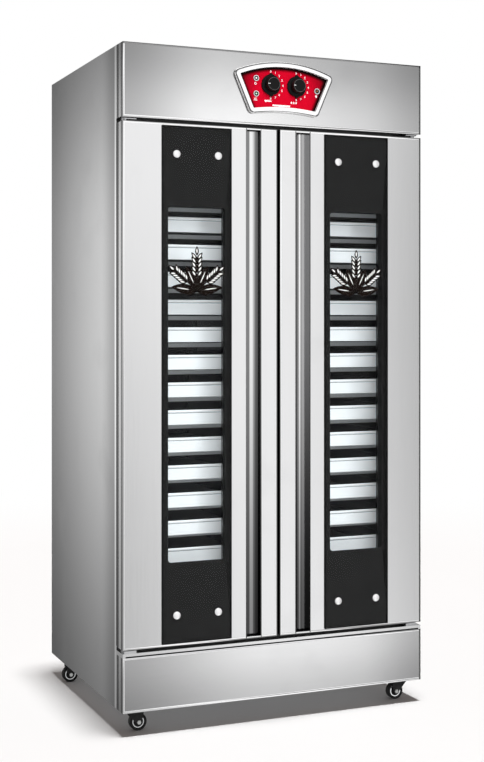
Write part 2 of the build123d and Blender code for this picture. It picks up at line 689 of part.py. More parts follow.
def control_plate():
    """The coloured plate inside the bezel, with holes for shafts and lamps."""
    plate = fan_plate(BEZEL_BORDER + SEAT_GAP, BEZEL_INNER_CORNER, -PLATE_THICKNESS, 0)
    for x in KNOB_PLACES:
        plate -= rod(x, Z_KNOB, -PLATE_THICKNESS - 1, 1, SHAFT_HOLE_RADIUS)
    for x, z in LAMP_PLACES:
        plate -= rod(x, z, -PLATE_THICKNESS - 1, 1, LAMP_TAIL_RADIUS + RUNNING_FIT)
    return plate


def control_knob(x):
    """A skirted knob with a lug above and below, a pointer groove at the left and a blind bore."""
    y_back = -PLATE_THICKNESS - KNOB_GAP
    y_skirt = y_back - SKIRT_THICKNESS
    y_face = y_back - KNOB_LENGTH
    skirt = rod(x, Z_KNOB, y_skirt, y_back, SKIRT_RADIUS)
    skirt = fillet(skirt.edges().group_by(Axis.Y)[0], 1.2)
    grip = Cone(GRIP_RADIUS, GRIP_RADIUS - GRIP_DRAFT, KNOB_LENGTH - SKIRT_THICKNESS, rotation=(90, 0, 0))
    grip = Pos(x, (y_skirt + y_face) / 2, Z_KNOB) * grip
    grip = fillet(grip.edges().group_by(Axis.Y)[0], 1.5)
    reach = SKIRT_RADIUS + LUG_REACH
    z_lug = (Z_KNOB - reach, Z_KNOB + reach)
    lug = slab((x - LUG_WIDTH / 2, x + LUG_WIDTH / 2), (y_skirt, y_back), z_lug)
    x_groove = (x - GRIP_RADIUS, x - GRIP_RADIUS / 2)
    z_groove = (Z_KNOB - POINTER_WIDTH / 2, Z_KNOB + POINTER_WIDTH / 2)
    groove = slab(x_groove, (y_face - 1, y_face + 0.5), z_groove)
    bore = rod(x, Z_KNOB, y_back - SHAFT_DEPTH_IN_KNOB - SEAT_GAP, y_back + 1, SHAFT_RADIUS + RUNNING_FIT)
    return skirt + grip + lug - groove - bore


def dial_controllers():
    """Two controllers behind the fascia, each with a shaft, a capillary and a sensing bulb."""
    pieces = []
    y_back = SKIN + CONTROLLER_DEPTH
    half = CONTROLLER_SIZE / 2
    shaft_end = -PLATE_THICKNESS - KNOB_GAP - SHAFT_DEPTH_IN_KNOB
    for x in KNOB_PLACES:
        body = slab((x - half, x + half), (SKIN, y_back), (Z_KNOB - half, Z_KNOB + half))
        body += rod(x, Z_KNOB, shaft_end, SKIN, SHAFT_RADIUS)
        bulb_top = Z_CEILING - BULB_DROP
        route = [(x, y_back, Z_KNOB), (x, CAPILLARY_SETBACK, Z_KNOB), (x, CAPILLARY_SETBACK, bulb_top)]
        bulb = peg(x, CAPILLARY_SETBACK, bulb_top - BULB_LENGTH, bulb_top, BULB_RADIUS)
        pieces += [body, pipe(route, CAPILLARY_BEND, CAPILLARY_RADIUS), bulb]
    return pieces


def lamp_bezels():
    """Three lamp housings: a round flange on the plate and a tail through the fascia."""
    housings = []
    y_flange = -PLATE_THICKNESS - LAMP_PROUD
    for x, z in LAMP_PLACES:
        flange = rod(x, z, y_flange, -PLATE_THICKNESS, LAMP_RADIUS)
        flange = chamfer(flange.edges().group_by(Axis.Y)[0], 0.8)
        tail = rod(x, z, -PLATE_THICKNESS, LAMP_TAIL_LENGTH, LAMP_TAIL_RADIUS)
        bore = rod(x, z, y_flange - 1, LAMP_TAIL_LENGTH + 1, LENS_RADIUS + RUNNING_FIT)
        housings.append(flange + tail - bore)
    return housings


def lamp_lenses():
    lenses = []
    y_front = -PLATE_THICKNESS - LAMP_PROUD - LENS_PROUD
    for x, z in LAMP_PLACES:
        lens = rod(x, z, y_front, LAMP_TAIL_LENGTH, LENS_RADIUS)
        lenses.append(fillet(lens.edges().group_by(Axis.Y)[0], LENS_PROUD))
    return lenses


# Head compartment and back

def terminal_y():
    return SWITCHGEAR_SETBACK + SWITCHGEAR_LENGTH - TERMINAL_LENGTH * 1.5


def switchgear():
    """A plate over the chamber's top board with two contactors and a terminal block."""
    z_plate = Z_INSULATION_TOP + SWITCHGEAR_PLATE
    half = SWITCHGEAR_WIDTH / 2
    y = (SWITCHGEAR_SETBACK, SWITCHGEAR_SETBACK + SWITCHGEAR_LENGTH)
    pieces = [slab((-half, half), y, (Z_INSULATION_TOP, z_plate))]
    y_contactor = (y[0] + TERMINAL_LENGTH, y[0] + TERMINAL_LENGTH + CONTACTOR_LENGTH)
    for side in (-1, 1):
        x = side * CONTACTOR_WIDTH
        x_contactor = (x - CONTACTOR_WIDTH / 2, x + CONTACTOR_WIDTH / 2)
        pieces.append(slab(x_contactor, y_contactor, (z_plate, z_plate + CONTACTOR_HEIGHT)))
    y_terminal = (terminal_y(), terminal_y() + TERMINAL_LENGTH)
    x_terminal = (-TERMINAL_WIDTH / 2, TERMINAL_WIDTH / 2)
    pieces.append(slab(x_terminal, y_terminal, (z_plate, z_plate + TERMINAL_HEIGHT)))
    return pieces


def loom_low():
    """The height at which the heater wires end, between the two heaters."""
    return Z_FLOOR + PAN_HEIGHT + HEATER_OVER_RIM


def wiring_loom():
    """Three bundles of wire from the terminal block: to the controllers, the gland and the heaters."""
    z_plate = Z_INSULATION_TOP + SWITCHGEAR_PLATE
    z_wire = z_plate + TERMINAL_HEIGHT / 2
    x_end = TERMINAL_WIDTH / 2
    y_mid = terminal_y() + TERMINAL_LENGTH / 2
    y_controller = SKIN + CONTROLLER_DEPTH
    x_front = -x_end - 2 * LOOM_BEND
    x_controller = KNOB_PLACES[0] - CONTROLLER_SIZE / 4
    to_front = [
        (-x_end, y_mid, z_wire),
        (x_front, y_mid, z_wire),
        (x_front, y_controller + 2 * LOOM_BEND, z_wire),
        (x_controller, y_controller + 2 * LOOM_BEND, z_wire + 2 * LOOM_BEND),
        (x_controller, y_controller + LOOM_BEND, Z_KNOB - CONTROLLER_SIZE / 4),
        (x_controller, y_controller, Z_KNOB - CONTROLLER_SIZE / 4),
    ]
    y_gland = PANEL_BACK - GLAND_NUT_LENGTH
    to_gland = [
        (x_end, y_mid, z_wire + 2 * LOOM_RADIUS),
        (GLAND_X, y_mid, z_wire + 2 * LOOM_RADIUS),
        (GLAND_X, y_gland - LOOM_BEND, Z_GLAND),
        (GLAND_X, y_gland, Z_GLAND),
    ]
    y_channel = PANEL_BACK - CHANNEL_DEPTH / 2
    to_heaters = [
        (x_end, y_mid, z_wire - LOOM_RADIUS),
        (LOOM_OFFSET, y_mid, z_wire - LOOM_RADIUS),
        (LOOM_OFFSET, y_channel, z_wire - LOOM_RADIUS),
        (LOOM_OFFSET, y_channel, loom_low()),
        (-AIR_HEATER_HALF_WIDTH, y_channel, loom_low()),
    ]
    return [pipe(to_front, LOOM_BEND / 2, LOOM_RADIUS), pipe(to_gland, LOOM_BEND / 3, LOOM_RADIUS - 1),
            pipe(to_heaters, LOOM_BEND / 2, LOOM_RADIUS)]


def cable_gland():
    """The screwed gland that the mains cable passes through."""
    flange = rod(0, 0, CABINET_DEPTH, CABINET_DEPTH + GLAND_FLANGE_LENGTH, GLAND_FLANGE_RADIUS)
    cap = rod(0, 0, CABINET_DEPTH, CABINET_DEPTH + GLAND_REACH, GLAND_CAP_RADIUS)
    cap = fillet(cap.edges().group_by(Axis.Y)[-1], 2)
    shank = rod(0, 0, PANEL_BACK - GLAND_NUT_LENGTH, CABINET_DEPTH, GLAND_SHANK_RADIUS)
    nut = rod(0, 0, PANEL_BACK - GLAND_NUT_LENGTH, PANEL_BACK, GLAND_FLANGE_RADIUS)
    bore = rod(0, 0, PANEL_BACK - GLAND_NUT_LENGTH - 1, CABINET_DEPTH + GLAND_REACH + 1, GLAND_BORE)
    return Pos(GLAND_X, 0, Z_GLAND) * (flange + cap + shank + nut - bore)


# Hinges and doors; the left door is drawn, and the right one is its mirror image

def hinge_brackets():
    """The plates over and under the left door, each with a collar and a pivot pin."""
    x = (DOOR_LEFT + BRACKET_INSET, DOOR_LEFT + BRACKET_INSET + BRACKET_WIDTH)
    y = (BRACKET_SETBACK, FRONT_DEPTH)
    lower = slab(x, y, (Z_BRACKET, Z_BRACKET + BRACKET_THICKNESS))
    lower += peg(PIVOT_X, PIVOT_SETBACK, Z_BRACKET, Z_DOOR - SEAT_GAP, COLLAR_RADIUS)
    lower += peg(PIVOT_X, PIVOT_SETBACK, Z_BRACKET, Z_DOOR + PIN_LENGTH, PIN_RADIUS)
    upper = slab(x, y, (Z_FASCIA - BRACKET_THICKNESS, Z_FASCIA))
    upper += peg(PIVOT_X, PIVOT_SETBACK, Z_DOOR_TOP + SEAT_GAP, Z_FASCIA, COLLAR_RADIUS)
    upper += peg(PIVOT_X, PIVOT_SETBACK, Z_DOOR_TOP - PIN_LENGTH, Z_FASCIA, PIN_RADIUS)
    return [lower, upper]


def cap_places():
    """The middles of the four caps that hold the glass of the left door."""
    z_low = Z_GLASS + CAP_END_MARGIN
    z_high = Z_GLASS_TOP - CAP_END_MARGIN
    columns = (GLASS_X[0] + CAP_SIDE_MARGIN, GLASS_X[1] - CAP_SIDE_MARGIN)
    return [(x, z) for x in columns for z in (z_low, z_high)]


def cap_holes(clearance):
    """The cutters for the shanks of the caps."""
    return [rod(x, z, GLASS_FRONT - 1, SKIN + CAP_SHANK_LENGTH, CAP_SHANK_RADIUS + clearance) for x, z in cap_places()]


def bush_solids(radius):
    """Two round bars where the bushes sit in the left door."""
    low = peg(PIVOT_X, PIVOT_SETBACK, Z_DOOR, Z_DOOR + BUSH_LENGTH, radius)
    high = peg(PIVOT_X, PIVOT_SETBACK, Z_DOOR_TOP - BUSH_LENGTH, Z_DOOR_TOP, radius)
    return [low, high]


def handle_section(wall):
    """The section of the handle's hollow, or of its outside when a wall is added."""
    start = SLOT_X[0] - wall
    end = SLOT_X[1] + wall
    floor = SLOT_DEPTH + wall
    bend = SLOT_ROUND + wall
    along_floor = Line((start, floor), (end - bend, floor))
    rounding = RadiusArc((end - bend, floor), (end, floor - bend), bend)
    if along_floor.length and rounding.center().Y < floor - bend / 2:
        rounding = RadiusArc((end - bend, floor), (end, floor - bend), -bend)
    edges = [Line((start, 0), (start, floor)), along_floor, rounding]
    edges += [Line((end, floor - bend), (end, 0)), Line((end, 0), (start, 0))]
    return make_face(edges)


def door_handle():
    """The recessed grip profile, with a thin lip on both sides of its mouth."""
    z = (Z_DOOR + SKIN, Z_DOOR_TOP - SKIN)
    height = z[1] - z[0]
    lip_x = (SLOT_X[0] - HANDLE_LIP, SLOT_X[1] + HANDLE_LIP)
    body = Pos(0, 0, z[0]) * extrude(handle_section(HANDLE_WALL), height, dir=(0, 0, 1))
    body += slab(lip_x, (-LIP_THICKNESS, 0), z)
    body -= Pos(0, 0, z[0] - 1) * extrude(handle_section(0), height + 2, dir=(0, 0, 1))
    return body - slab(SLOT_X, (-LIP_THICKNESS - 1, 0.5), (z[0] - 1, z[1] + 1))


def door_skin():
    """The outer shell of the left door, cut for the window, the handle and the caps."""
    x = (DOOR_LEFT, DOOR_RIGHT)
    z = (Z_DOOR, Z_DOOR_TOP)
    skin = tray_form(x, (0, SKIN_RETURN), z, SKIN, ("+Y",))
    skin = fillet(front_corners(skin), EDGE_RADIUS)
    cut = (-1, SKIN + 0.5)
    skin -= slab((COLLAR_X[0] + COLLAR_WALL, COLLAR_X[1] - COLLAR_WALL), cut,
                 (COLLAR_Z[0] + COLLAR_WALL, COLLAR_Z[1] - COLLAR_WALL))
    handle_x = (SLOT_X[0] - HANDLE_WALL - RUNNING_FIT, SLOT_X[1] + HANDLE_WALL + RUNNING_FIT)
    skin -= slab(handle_x, cut, (Z_DOOR + SKIN, Z_DOOR_TOP - SKIN))
    for hole in cap_holes(RUNNING_FIT):
        skin -= hole
    return skin


def door_liner():
    """The inner shell of the left door, with the collar around its window."""
    x = (DOOR_LEFT, DOOR_RIGHT)
    z = (Z_DOOR, Z_DOOR_TOP)
    liner = tray_form(x, (LINER_START, DOOR_THICKNESS), z, SKIN, ("-Y",))
    liner += slab(COLLAR_X, (SKIN + SEAT_GAP, DOOR_THICKNESS), COLLAR_Z)
    inner_x = (COLLAR_X[0] + COLLAR_WALL, COLLAR_X[1] - COLLAR_WALL)
    inner_z = (COLLAR_Z[0] + COLLAR_WALL, COLLAR_Z[1] - COLLAR_WALL)
    liner -= slab(inner_x, (0, DOOR_THICKNESS + 1), inner_z)
    for bar in bush_solids(BUSH_RADIUS):
        liner -= bar
    return liner


def door_core():
    """The insulation between the shells of the left door."""
    x = (DOOR_LEFT + SKIN, DOOR_RIGHT - SKIN)
    z = (Z_DOOR + SKIN, Z_DOOR_TOP - SKIN)
    core = slab(x, (SKIN, DOOR_THICKNESS - SKIN), z)
    core -= slab(COLLAR_X, (0, DOOR_THICKNESS), COLLAR_Z)
    core -= Pos(0, 0, Z_DOOR) * extrude(handle_section(HANDLE_WALL), Z_DOOR_TOP - Z_DOOR, dir=(0, 0, 1))
    for cutter in bush_solids(BUSH_RADIUS) + cap_holes(RUNNING_FIT):
        core -= cutter
    return core


def door_panes():
    """The long front glass of the left door and the pane behind its window."""
    front = slab(GLASS_X, (GLASS_FRONT, -PRINT_THICKNESS), (Z_GLASS, Z_GLASS_TOP))
    for hole in cap_holes(RUNNING_FIT):
        front -= hole
    inset = COLLAR_WALL + SEAT_GAP
    y_back = DOOR_THICKNESS - REAR_PANE_SETBACK
    rear = slab((COLLAR_X[0] + inset, COLLAR_X[1] - inset), (y_back - GLASS_THICKNESS, y_back),
                (COLLAR_Z[0] + inset, COLLAR_Z[1] - inset))
    return [front, rear]


def door_print():
    """The dark printed layer behind the front glass, clear at the window."""
    layer = slab(GLASS_X, (-PRINT_THICKNESS, 0), (Z_GLASS, Z_GLASS_TOP))
    window = slab(WINDOW_X, (-1, 1), (Z_WINDOW, Z_WINDOW_TOP))
    layer -= fillet(window.edges().filter_by(Axis.Y), WINDOW_CORNER)
    for hole in cap_holes(RUNNING_FIT):
        layer -= hole
    return layer


def door_gasket():
    """The seal around the back of the left door, kept inside the pivot's swing."""
    y = (DOOR_THICKNESS, FRONT_DEPTH - SEAT_GAP)
    x = (DOOR_LEFT + GASKET_HINGE_INSET, DOOR_RIGHT - GASKET_INSET)
    z = (Z_DOOR + GASKET_INSET, Z_DOOR_TOP - GASKET_INSET)
    x_hole = (x[0] + GASKET_WIDTH, x[1] - GASKET_WIDTH)
    z_hole = (z[0] + GASKET_WIDTH, z[1] - GASKET_WIDTH)
    return slab(x, y, z) - slab(x_hole, (y[0] - 1, y[1] + 1), z_hole)


def glass_caps():
    """The four bright caps that hold the front glass of the left door."""
    caps = []
    for x, z in cap_places():
        cap = rod(x, z, GLASS_FRONT - CAP_THICKNESS, GLASS_FRONT, CAP_RADIUS)
        cap = fillet(cap.edges().group_by(Axis.Y)[0], CAP_THICKNESS / 3)
        caps.append(cap + rod(x, z, GLASS_FRONT, SKIN + CAP_SHANK_LENGTH, CAP_SHANK_RADIUS))
    return caps


def door_bushes():
    bushes = []
    for bar in bush_solids(BUSH_RADIUS):
        bushes.append(bar - peg(PIVOT_X, PIVOT_SETBACK, Z_DOOR - 1, Z_DOOR_TOP + 1, PIN_RADIUS + RUNNING_FIT))
    return bushes


def left_door():
    """Every piece of the left door, by name."""
    return {
        "door_skin": [door_skin()],
        "door_liner": [door_liner()],
        "door_core": [door_core()],
        "door_panes": door_panes(),
        "glass_print": [door_print()],
        "door_handle": [door_handle()],
        "door_gasket": [door_gasket()],
        "glass_caps": glass_caps(),
        "door_bushes": door_bushes(),
    }


# Castors; each is drawn with its swivel axis at the origin and trails towards +X

def castor_bolt_offsets():
    x = CASTOR_PLATE_LENGTH / 2 - CASTOR_BOLT_INSET
    y = CASTOR_PLATE_WIDTH / 2 - CASTOR_BOLT_INSET
    return [(side * x, end * y) for side in (-1, 1) for end in (-1, 1)]


def castor_bolt_places():
    """The middles of all castor bolts, under the base plate."""
    places = []
    for x, y, _ in CASTOR_PLACES.values():
        places += [(x + dx, y + dy) for dx, dy in castor_bolt_offsets()]
    return places


def castor_plate():
    """The fixing plate with the kingpin and its head."""
    x = (-CASTOR_PLATE_LENGTH / 2, CASTOR_PLATE_LENGTH / 2)
    y = (-CASTOR_PLATE_WIDTH / 2, CASTOR_PLATE_WIDTH / 2)
    plate = slab(x, y, (Z_CASTOR_PLATE, Z_BASE))
    for dx, dy in castor_bolt_offsets():
        plate -= peg(dx, dy, Z_CASTOR_PLATE - 1, Z_BASE + 1, CASTOR_BOLT_RADIUS + RUNNING_FIT)
    z_head = CROWN_HEIGHT - SEAT_GAP
    plate += peg(0, 0, z_head - KINGPIN_HEAD, z_head, KINGPIN_HEAD_RADIUS)
    return plate + peg(0, 0, z_head - KINGPIN_HEAD, Z_BASE, KINGPIN_RADIUS)


def castor_bolt(x, y):
    z_head = Z_CASTOR_PLATE - CASTOR_BOLT_HEAD
    head = peg(x, y, z_head, Z_CASTOR_PLATE, CASTOR_BOLT_HEAD_RADIUS)
    shank = peg(x, y, z_head, z_head + CASTOR_BOLT_LENGTH, CASTOR_BOLT_RADIUS)
    return head + shank


def castor_fork():
    """The swivelling fork: race, crown and two legs, bored for the kingpin and the axle."""
    leg_inner = HUB_WIDTH / 2 + SEAT_GAP
    leg_outer = leg_inner + FORK_SHEET
    race = peg(0, 0, CROWN_HEIGHT, Z_RACE_TOP, RACE_RADIUS)
    crown_x = (-RACE_RADIUS, LEG_TOP_WIDTH - RACE_RADIUS + 2 * LEG_FOOT_RADIUS)
    crown = slab(crown_x, (-leg_outer, leg_outer), (CROWN_HEIGHT, Z_CROWN_TOP))
    outline = Polyline(
        (crown_x[0], Z_CROWN_TOP),
        (crown_x[1], Z_CROWN_TOP),
        (WHEEL_TRAIL + LEG_FOOT_RADIUS, WHEEL_RADIUS),
        (WHEEL_TRAIL - LEG_FOOT_RADIUS, WHEEL_RADIUS),
        close=True,
    )
    side_plane = Plane(origin=(0, -leg_outer, 0), x_dir=(1, 0, 0), z_dir=(0, -1, 0))
    leg = extrude(side_plane * make_face(outline), -FORK_SHEET)
    leg += rod(WHEEL_TRAIL, WHEEL_RADIUS, -leg_outer, -leg_inner, LEG_FOOT_RADIUS)
    fork = race + crown + leg + mirror(leg, about=Plane.XZ)
    fork -= peg(0, 0, CROWN_HEIGHT - 1, Z_RACE_TOP + 1, KINGPIN_RADIUS + RUNNING_FIT)
    return fork - rod(WHEEL_TRAIL, WHEEL_RADIUS, -leg_outer - 1, leg_outer + 1, AXLE_RADIUS + RUNNING_FIT)


def castor_axle():
    leg_outer = HUB_WIDTH / 2 + SEAT_GAP + FORK_SHEET
    end = leg_outer + AXLE_HEAD
    pin = rod(WHEEL_TRAIL, WHEEL_RADIUS, -end, end, AXLE_RADIUS)
    head = rod(WHEEL_TRAIL, WHEEL_RADIUS, leg_outer, end, AXLE_HEAD_RADIUS)
    return pin + head + mirror(head, about=Plane.XZ)


def castor_wheel():
    """The wheel: hub, web with a raised ring, and a rounded tread."""
    hub = rod(0, 0, -HUB_WIDTH / 2, HUB_WIDTH / 2, HUB_RADIUS)
    tread = rod(0, 0, -WHEEL_WIDTH / 2, WHEEL_WIDTH / 2, WHEEL_RADIUS)
    tread = fillet(tread.edges(), 2)
    web_inner = WHEEL_RADIUS * 0.8
    recess = WHEEL_WIDTH / 4
    pocket = rod(0, 0, WHEEL_WIDTH / 2 - recess, WHEEL_WIDTH, web_inner)
    ring = rod(0, 0, 0, WHEEL_WIDTH / 2 - recess / 2, WHEEL_RADIUS * 0.68)
    ring -= rod(0, 0, -1, WHEEL_WIDTH, WHEEL_RADIUS * 0.56)
    wheel = tread - pocket - mirror(pocket, about=Plane.XZ)
    wheel += ring + mirror(ring, about=Plane.XZ) + hub
    wheel -= rod(0, 0, -HUB_WIDTH, HUB_WIDTH, AXLE_RADIUS + RUNNING_FIT)
    return Pos(WHEEL_TRAIL, 0, WHEEL_RADIUS) * wheel


def place_castor(shape, x, y, direction):
    """Stand a castor piece at its place, trailing to the right (1) or to the left (-1)."""
    turn = 0 if direction > 0 else 180
    return Pos(x, y, 0) * Rot(0, 0, turn) * shape


def castor_nodes():
    """The swivelling and rolling pieces of all castors, and their plates and bolts."""
    plate = castor_plate()
    fork = castor_fork()
    axle = castor_axle()
    wheel = castor_wheel()
    pieces = {"castor_plates": [], "castor_bolts": [castor_bolt(x, y) for x, y in castor_bolt_places()]}
    for name, (x, y, direction) in CASTOR_PLACES.items():
        pieces["castor_plates"].append(place_castor(plate, x, y, direction))
        pieces[name + "_fork"] = [place_castor(fork, x, y, direction), place_castor(axle, x, y, direction)]
        pieces[name + "_wheel"] = [place_castor(wheel, x, y, direction)]
    return pieces


# The whole cabinet

def cabinet():
    """Every piece of the cabinet, as a list of solids for each name."""
    side = side_panel()
    brackets = hinge_brackets()
    pieces = {
        "left_side_panel": [side],
        "right_side_panel": mirrored([side]),
        "top_panel": [top_panel()],
        "back_panel": [back_panel()],
        "bottom_panel": [bottom_panel()],
        "insulation_boards": insulation_boards(),
        "chamber_liner": chamber_liner(),
        "front_frame": [front_frame()],
        "top_fascia": [top_fascia()],
        "base_fascia": [base_fascia()],
        "base_sill": [base_sill()],
        "hinge_brackets": brackets + mirrored(brackets),
        "control_bezel": [control_bezel()],
        "control_plate": [control_plate()],
        "dial_controllers": dial_controllers(),
        "temperature_knob": [control_knob(KNOB_PLACES[0])],
        "humidity_knob": [control_knob(KNOB_PLACES[1])],
        "lamp_bezels": lamp_bezels(),
        "lamp_lenses": lamp_lenses(),
        "switchgear": switchgear(),
        "wiring_loom": wiring_loom(),
        "rack_posts": rack_posts(),
        "tray_rails": tray_rails(),
        "rack_crossbars": rack_crossbars(),
        "left_trays": trays(-1),
        "right_trays": trays(1),
        "water_pan": [water_pan()],
        "water_heater": [pipe(water_heater_route(), HEATER_BEND, HEATER_RADIUS)],
        "air_heater": [pipe(air_heater_route(), HEATER_BEND, HEATER_RADIUS)],
        "chamber_lamps": chamber_lamps(),
        "cable_gland": [cable_gland()],
        "panel_screws": [panel_screw(x, z) for x, z in panel_screw_places()],
    }
    pieces.update(castor_nodes())
    for name, shapes in left_door().items():
        pieces["left_" + name] = shapes
        pieces["right_" + name] = mirrored(shapes)
    return pieces


def solids_of(shapes):
    """The separate solids in a list of shapes, moved to the cabinet's own origin."""
    return [Pos(0, Y_FRONT, 0) * solid for shape in shapes for solid in shape.solids()]


os.makedirs("parts", exist_ok=True)
for node, shapes in cabinet().items():
    solids = solids_of(shapes)
    export_step(solids[0] if len(solids) == 1 else Compound(children=solids), f"parts/{node}.step")
    print(node, len(solids))
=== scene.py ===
"""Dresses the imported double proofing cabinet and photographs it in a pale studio.

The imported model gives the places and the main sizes. The classes below add the finishes and the
pieces that show finer detail than the solids: folded edges, screws, the cable gland, knobs, lamps,
glass, trays, castors and printed marks.
"""

from __future__ import annotations

import logging
import math
from dataclasses import dataclass
from enum import Enum
from typing import Callable, Mapping, Protocol, Sequence

import bmesh
import bpy
from mathutils import Matrix, Vector


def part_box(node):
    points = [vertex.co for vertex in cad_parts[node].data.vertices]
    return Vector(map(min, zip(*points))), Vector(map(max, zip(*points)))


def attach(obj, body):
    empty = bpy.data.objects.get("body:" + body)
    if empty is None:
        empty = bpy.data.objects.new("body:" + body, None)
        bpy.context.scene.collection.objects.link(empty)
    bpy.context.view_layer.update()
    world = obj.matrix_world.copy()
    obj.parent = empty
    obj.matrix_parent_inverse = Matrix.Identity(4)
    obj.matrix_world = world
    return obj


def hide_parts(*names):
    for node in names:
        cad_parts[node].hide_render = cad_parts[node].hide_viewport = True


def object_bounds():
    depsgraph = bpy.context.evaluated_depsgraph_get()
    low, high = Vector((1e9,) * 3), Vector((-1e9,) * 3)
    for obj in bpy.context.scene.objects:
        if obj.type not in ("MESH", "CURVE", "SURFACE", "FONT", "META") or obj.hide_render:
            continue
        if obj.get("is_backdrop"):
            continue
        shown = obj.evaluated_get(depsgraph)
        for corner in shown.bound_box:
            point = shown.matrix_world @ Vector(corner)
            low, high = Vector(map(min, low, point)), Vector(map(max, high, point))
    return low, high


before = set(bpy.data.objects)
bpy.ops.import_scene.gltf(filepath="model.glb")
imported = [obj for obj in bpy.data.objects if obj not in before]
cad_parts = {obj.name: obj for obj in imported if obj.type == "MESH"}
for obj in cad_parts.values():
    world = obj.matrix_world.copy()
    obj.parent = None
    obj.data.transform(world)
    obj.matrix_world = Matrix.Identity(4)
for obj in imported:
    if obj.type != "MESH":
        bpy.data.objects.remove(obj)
CAD_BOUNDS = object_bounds()
LOG = logging.getLogger("proofing_cabinet")

MM = 0.001
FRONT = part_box("top_fascia")[0].y
LEFT_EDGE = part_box("top_fascia")[0].x
RIGHT_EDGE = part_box("top_fascia")[1].x
TOP_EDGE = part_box("top_fascia")[1].z
FASCIA_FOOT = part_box("top_fascia")[0].z
LEFT_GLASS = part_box("left_door_panes")[0].x
RIGHT_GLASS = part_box("right_door_panes")[0].x
LEFT_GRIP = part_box("left_door_handle")[0].x
RIGHT_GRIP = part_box("right_door_handle")[0].x
# Places of painted light: a painted highlight on the sheets' left end, painted shade strips on their folded
# sides.
LEFT_END_HIGHLIGHT = (LEFT_EDGE - 0.1 * MM, LEFT_EDGE + 0.5 * MM)
FOLD_SHADE_STRIP = (FRONT + 2.0 * MM, FRONT + 15.0 * MM)
RETURN_SHADE_STRIP = (FRONT + 37.0 * MM, FRONT + 54.0 * MM)
HEM_WIDTH = 5.2 * MM
SMALL_ROUNDING = 0.3 * MM
SMOOTH_BELOW = math.radians(32)
Colour = tuple[float, float, float, float]
Number = int | float
Corners = tuple[Vector, Vector]
Profile = list[tuple[float, float]]


def grey(level: float) -> Colour:
    """An opaque neutral colour."""
    return (level, level, level, 1.0)


def steel_grey(level: float) -> Colour:
    """A grey with the faintest blue, as of stainless steel."""
    return (level, level, level + 0.005, 1.0)


def scaled(colour: Colour, factor: float) -> Colour:
    """A colour made darker or lighter."""
    return tuple(min(1.0, channel * factor) for channel in colour[:3]) + (1.0,)


def front_middle(low: Vector, high: Vector, y: float) -> Vector:
    """The middle of a box seen from the front, at one depth."""
    return Vector(((low.x + high.x) / 2, y, (low.z + high.z) / 2))


def leaning(angle: float) -> tuple[Vector, Vector]:
    """The directions along and across something that leans to the right by an angle, in radians."""
    return Vector((math.sin(angle), 0, math.cos(angle))), Vector((math.cos(angle), 0, -math.sin(angle)))


def box_where(node: str, keep: Callable[[Vector], bool]) -> Corners:
    """Find the box around some of a solid's points.

    Args:
        node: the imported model's node.
        keep: says whether a point counts.

    Returns:
        The lowest and the highest corner.
    """
    points = [vertex.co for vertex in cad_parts[node].data.vertices if keep(vertex.co)]
    low = Vector([min(point[axis] for point in points) for axis in range(3)])
    high = Vector([max(point[axis] for point in points) for axis in range(3)])
    return low, high


class Grain(Enum):
    """The way a sheet was brushed: how finely its grain changes along X, Y and Z, per metre."""

    LEVEL = (6.0, 900.0, 900.0)
    UPRIGHT = (900.0, 900.0, 6.0)
    BACKWARD = (900.0, 6.0, 900.0)


class Spin(Enum):
    """The axis that a turned piece is drawn around, with the two directions across it."""

    ALONG_X = (Vector((1, 0, 0)), Vector((0, 1, 0)), Vector((0, 0, 1)))
    ALONG_Y = (Vector((0, 1, 0)), Vector((1, 0, 0)), Vector((0, 0, 1)))
    ALONG_Z = (Vector((0, 0, 1)), Vector((1, 0, 0)), Vector((0, 1, 0)))


class Hand(Enum):
    """Which door or column of trays."""

    LEFT = "left"
    RIGHT = "right"


class Wire:
    """An output of a shader node. Expressions on numbers add Math nodes."""

    def __init__(self, sheet: NodeSheet, socket: bpy.types.NodeSocket | None) -> None:
        """Keep the socket and the sheet that new nodes go on."""
        self.sheet = sheet
        self.socket = socket

    def _math(self, operation: str, first: Wire | Number, second: Wire | Number) -> Wire:
        """Add one Math node.

        Args:
            operation: the Math node's operation.
            first: the upper input.
            second: the lower input.

        Returns:
            The node's result.
        """
        return self.sheet.add("ShaderNodeMath", {"operation": operation}, {0: first, 1: second})

    def __add__(self, other: Wire | Number) -> Wire:
        """This plus other."""
        return self._math("ADD", self, other)

    def __radd__(self, other: Number) -> Wire:
        """A number plus this."""
        return self._math("ADD", other, self)

    def __sub__(self, other: Wire | Number) -> Wire:
        """This minus other."""
        return self._math("SUBTRACT", self, other)

    def __rsub__(self, other: Number) -> Wire:
        """A number minus this."""
        return self._math("SUBTRACT", other, self)

    def __mul__(self, other: Wire | Number) -> Wire:
        """This times other."""
        return self._math("MULTIPLY", self, other)

    def __rmul__(self, other: Number) -> Wire:
        """A number times this."""
        return self._math("MULTIPLY", other, self)


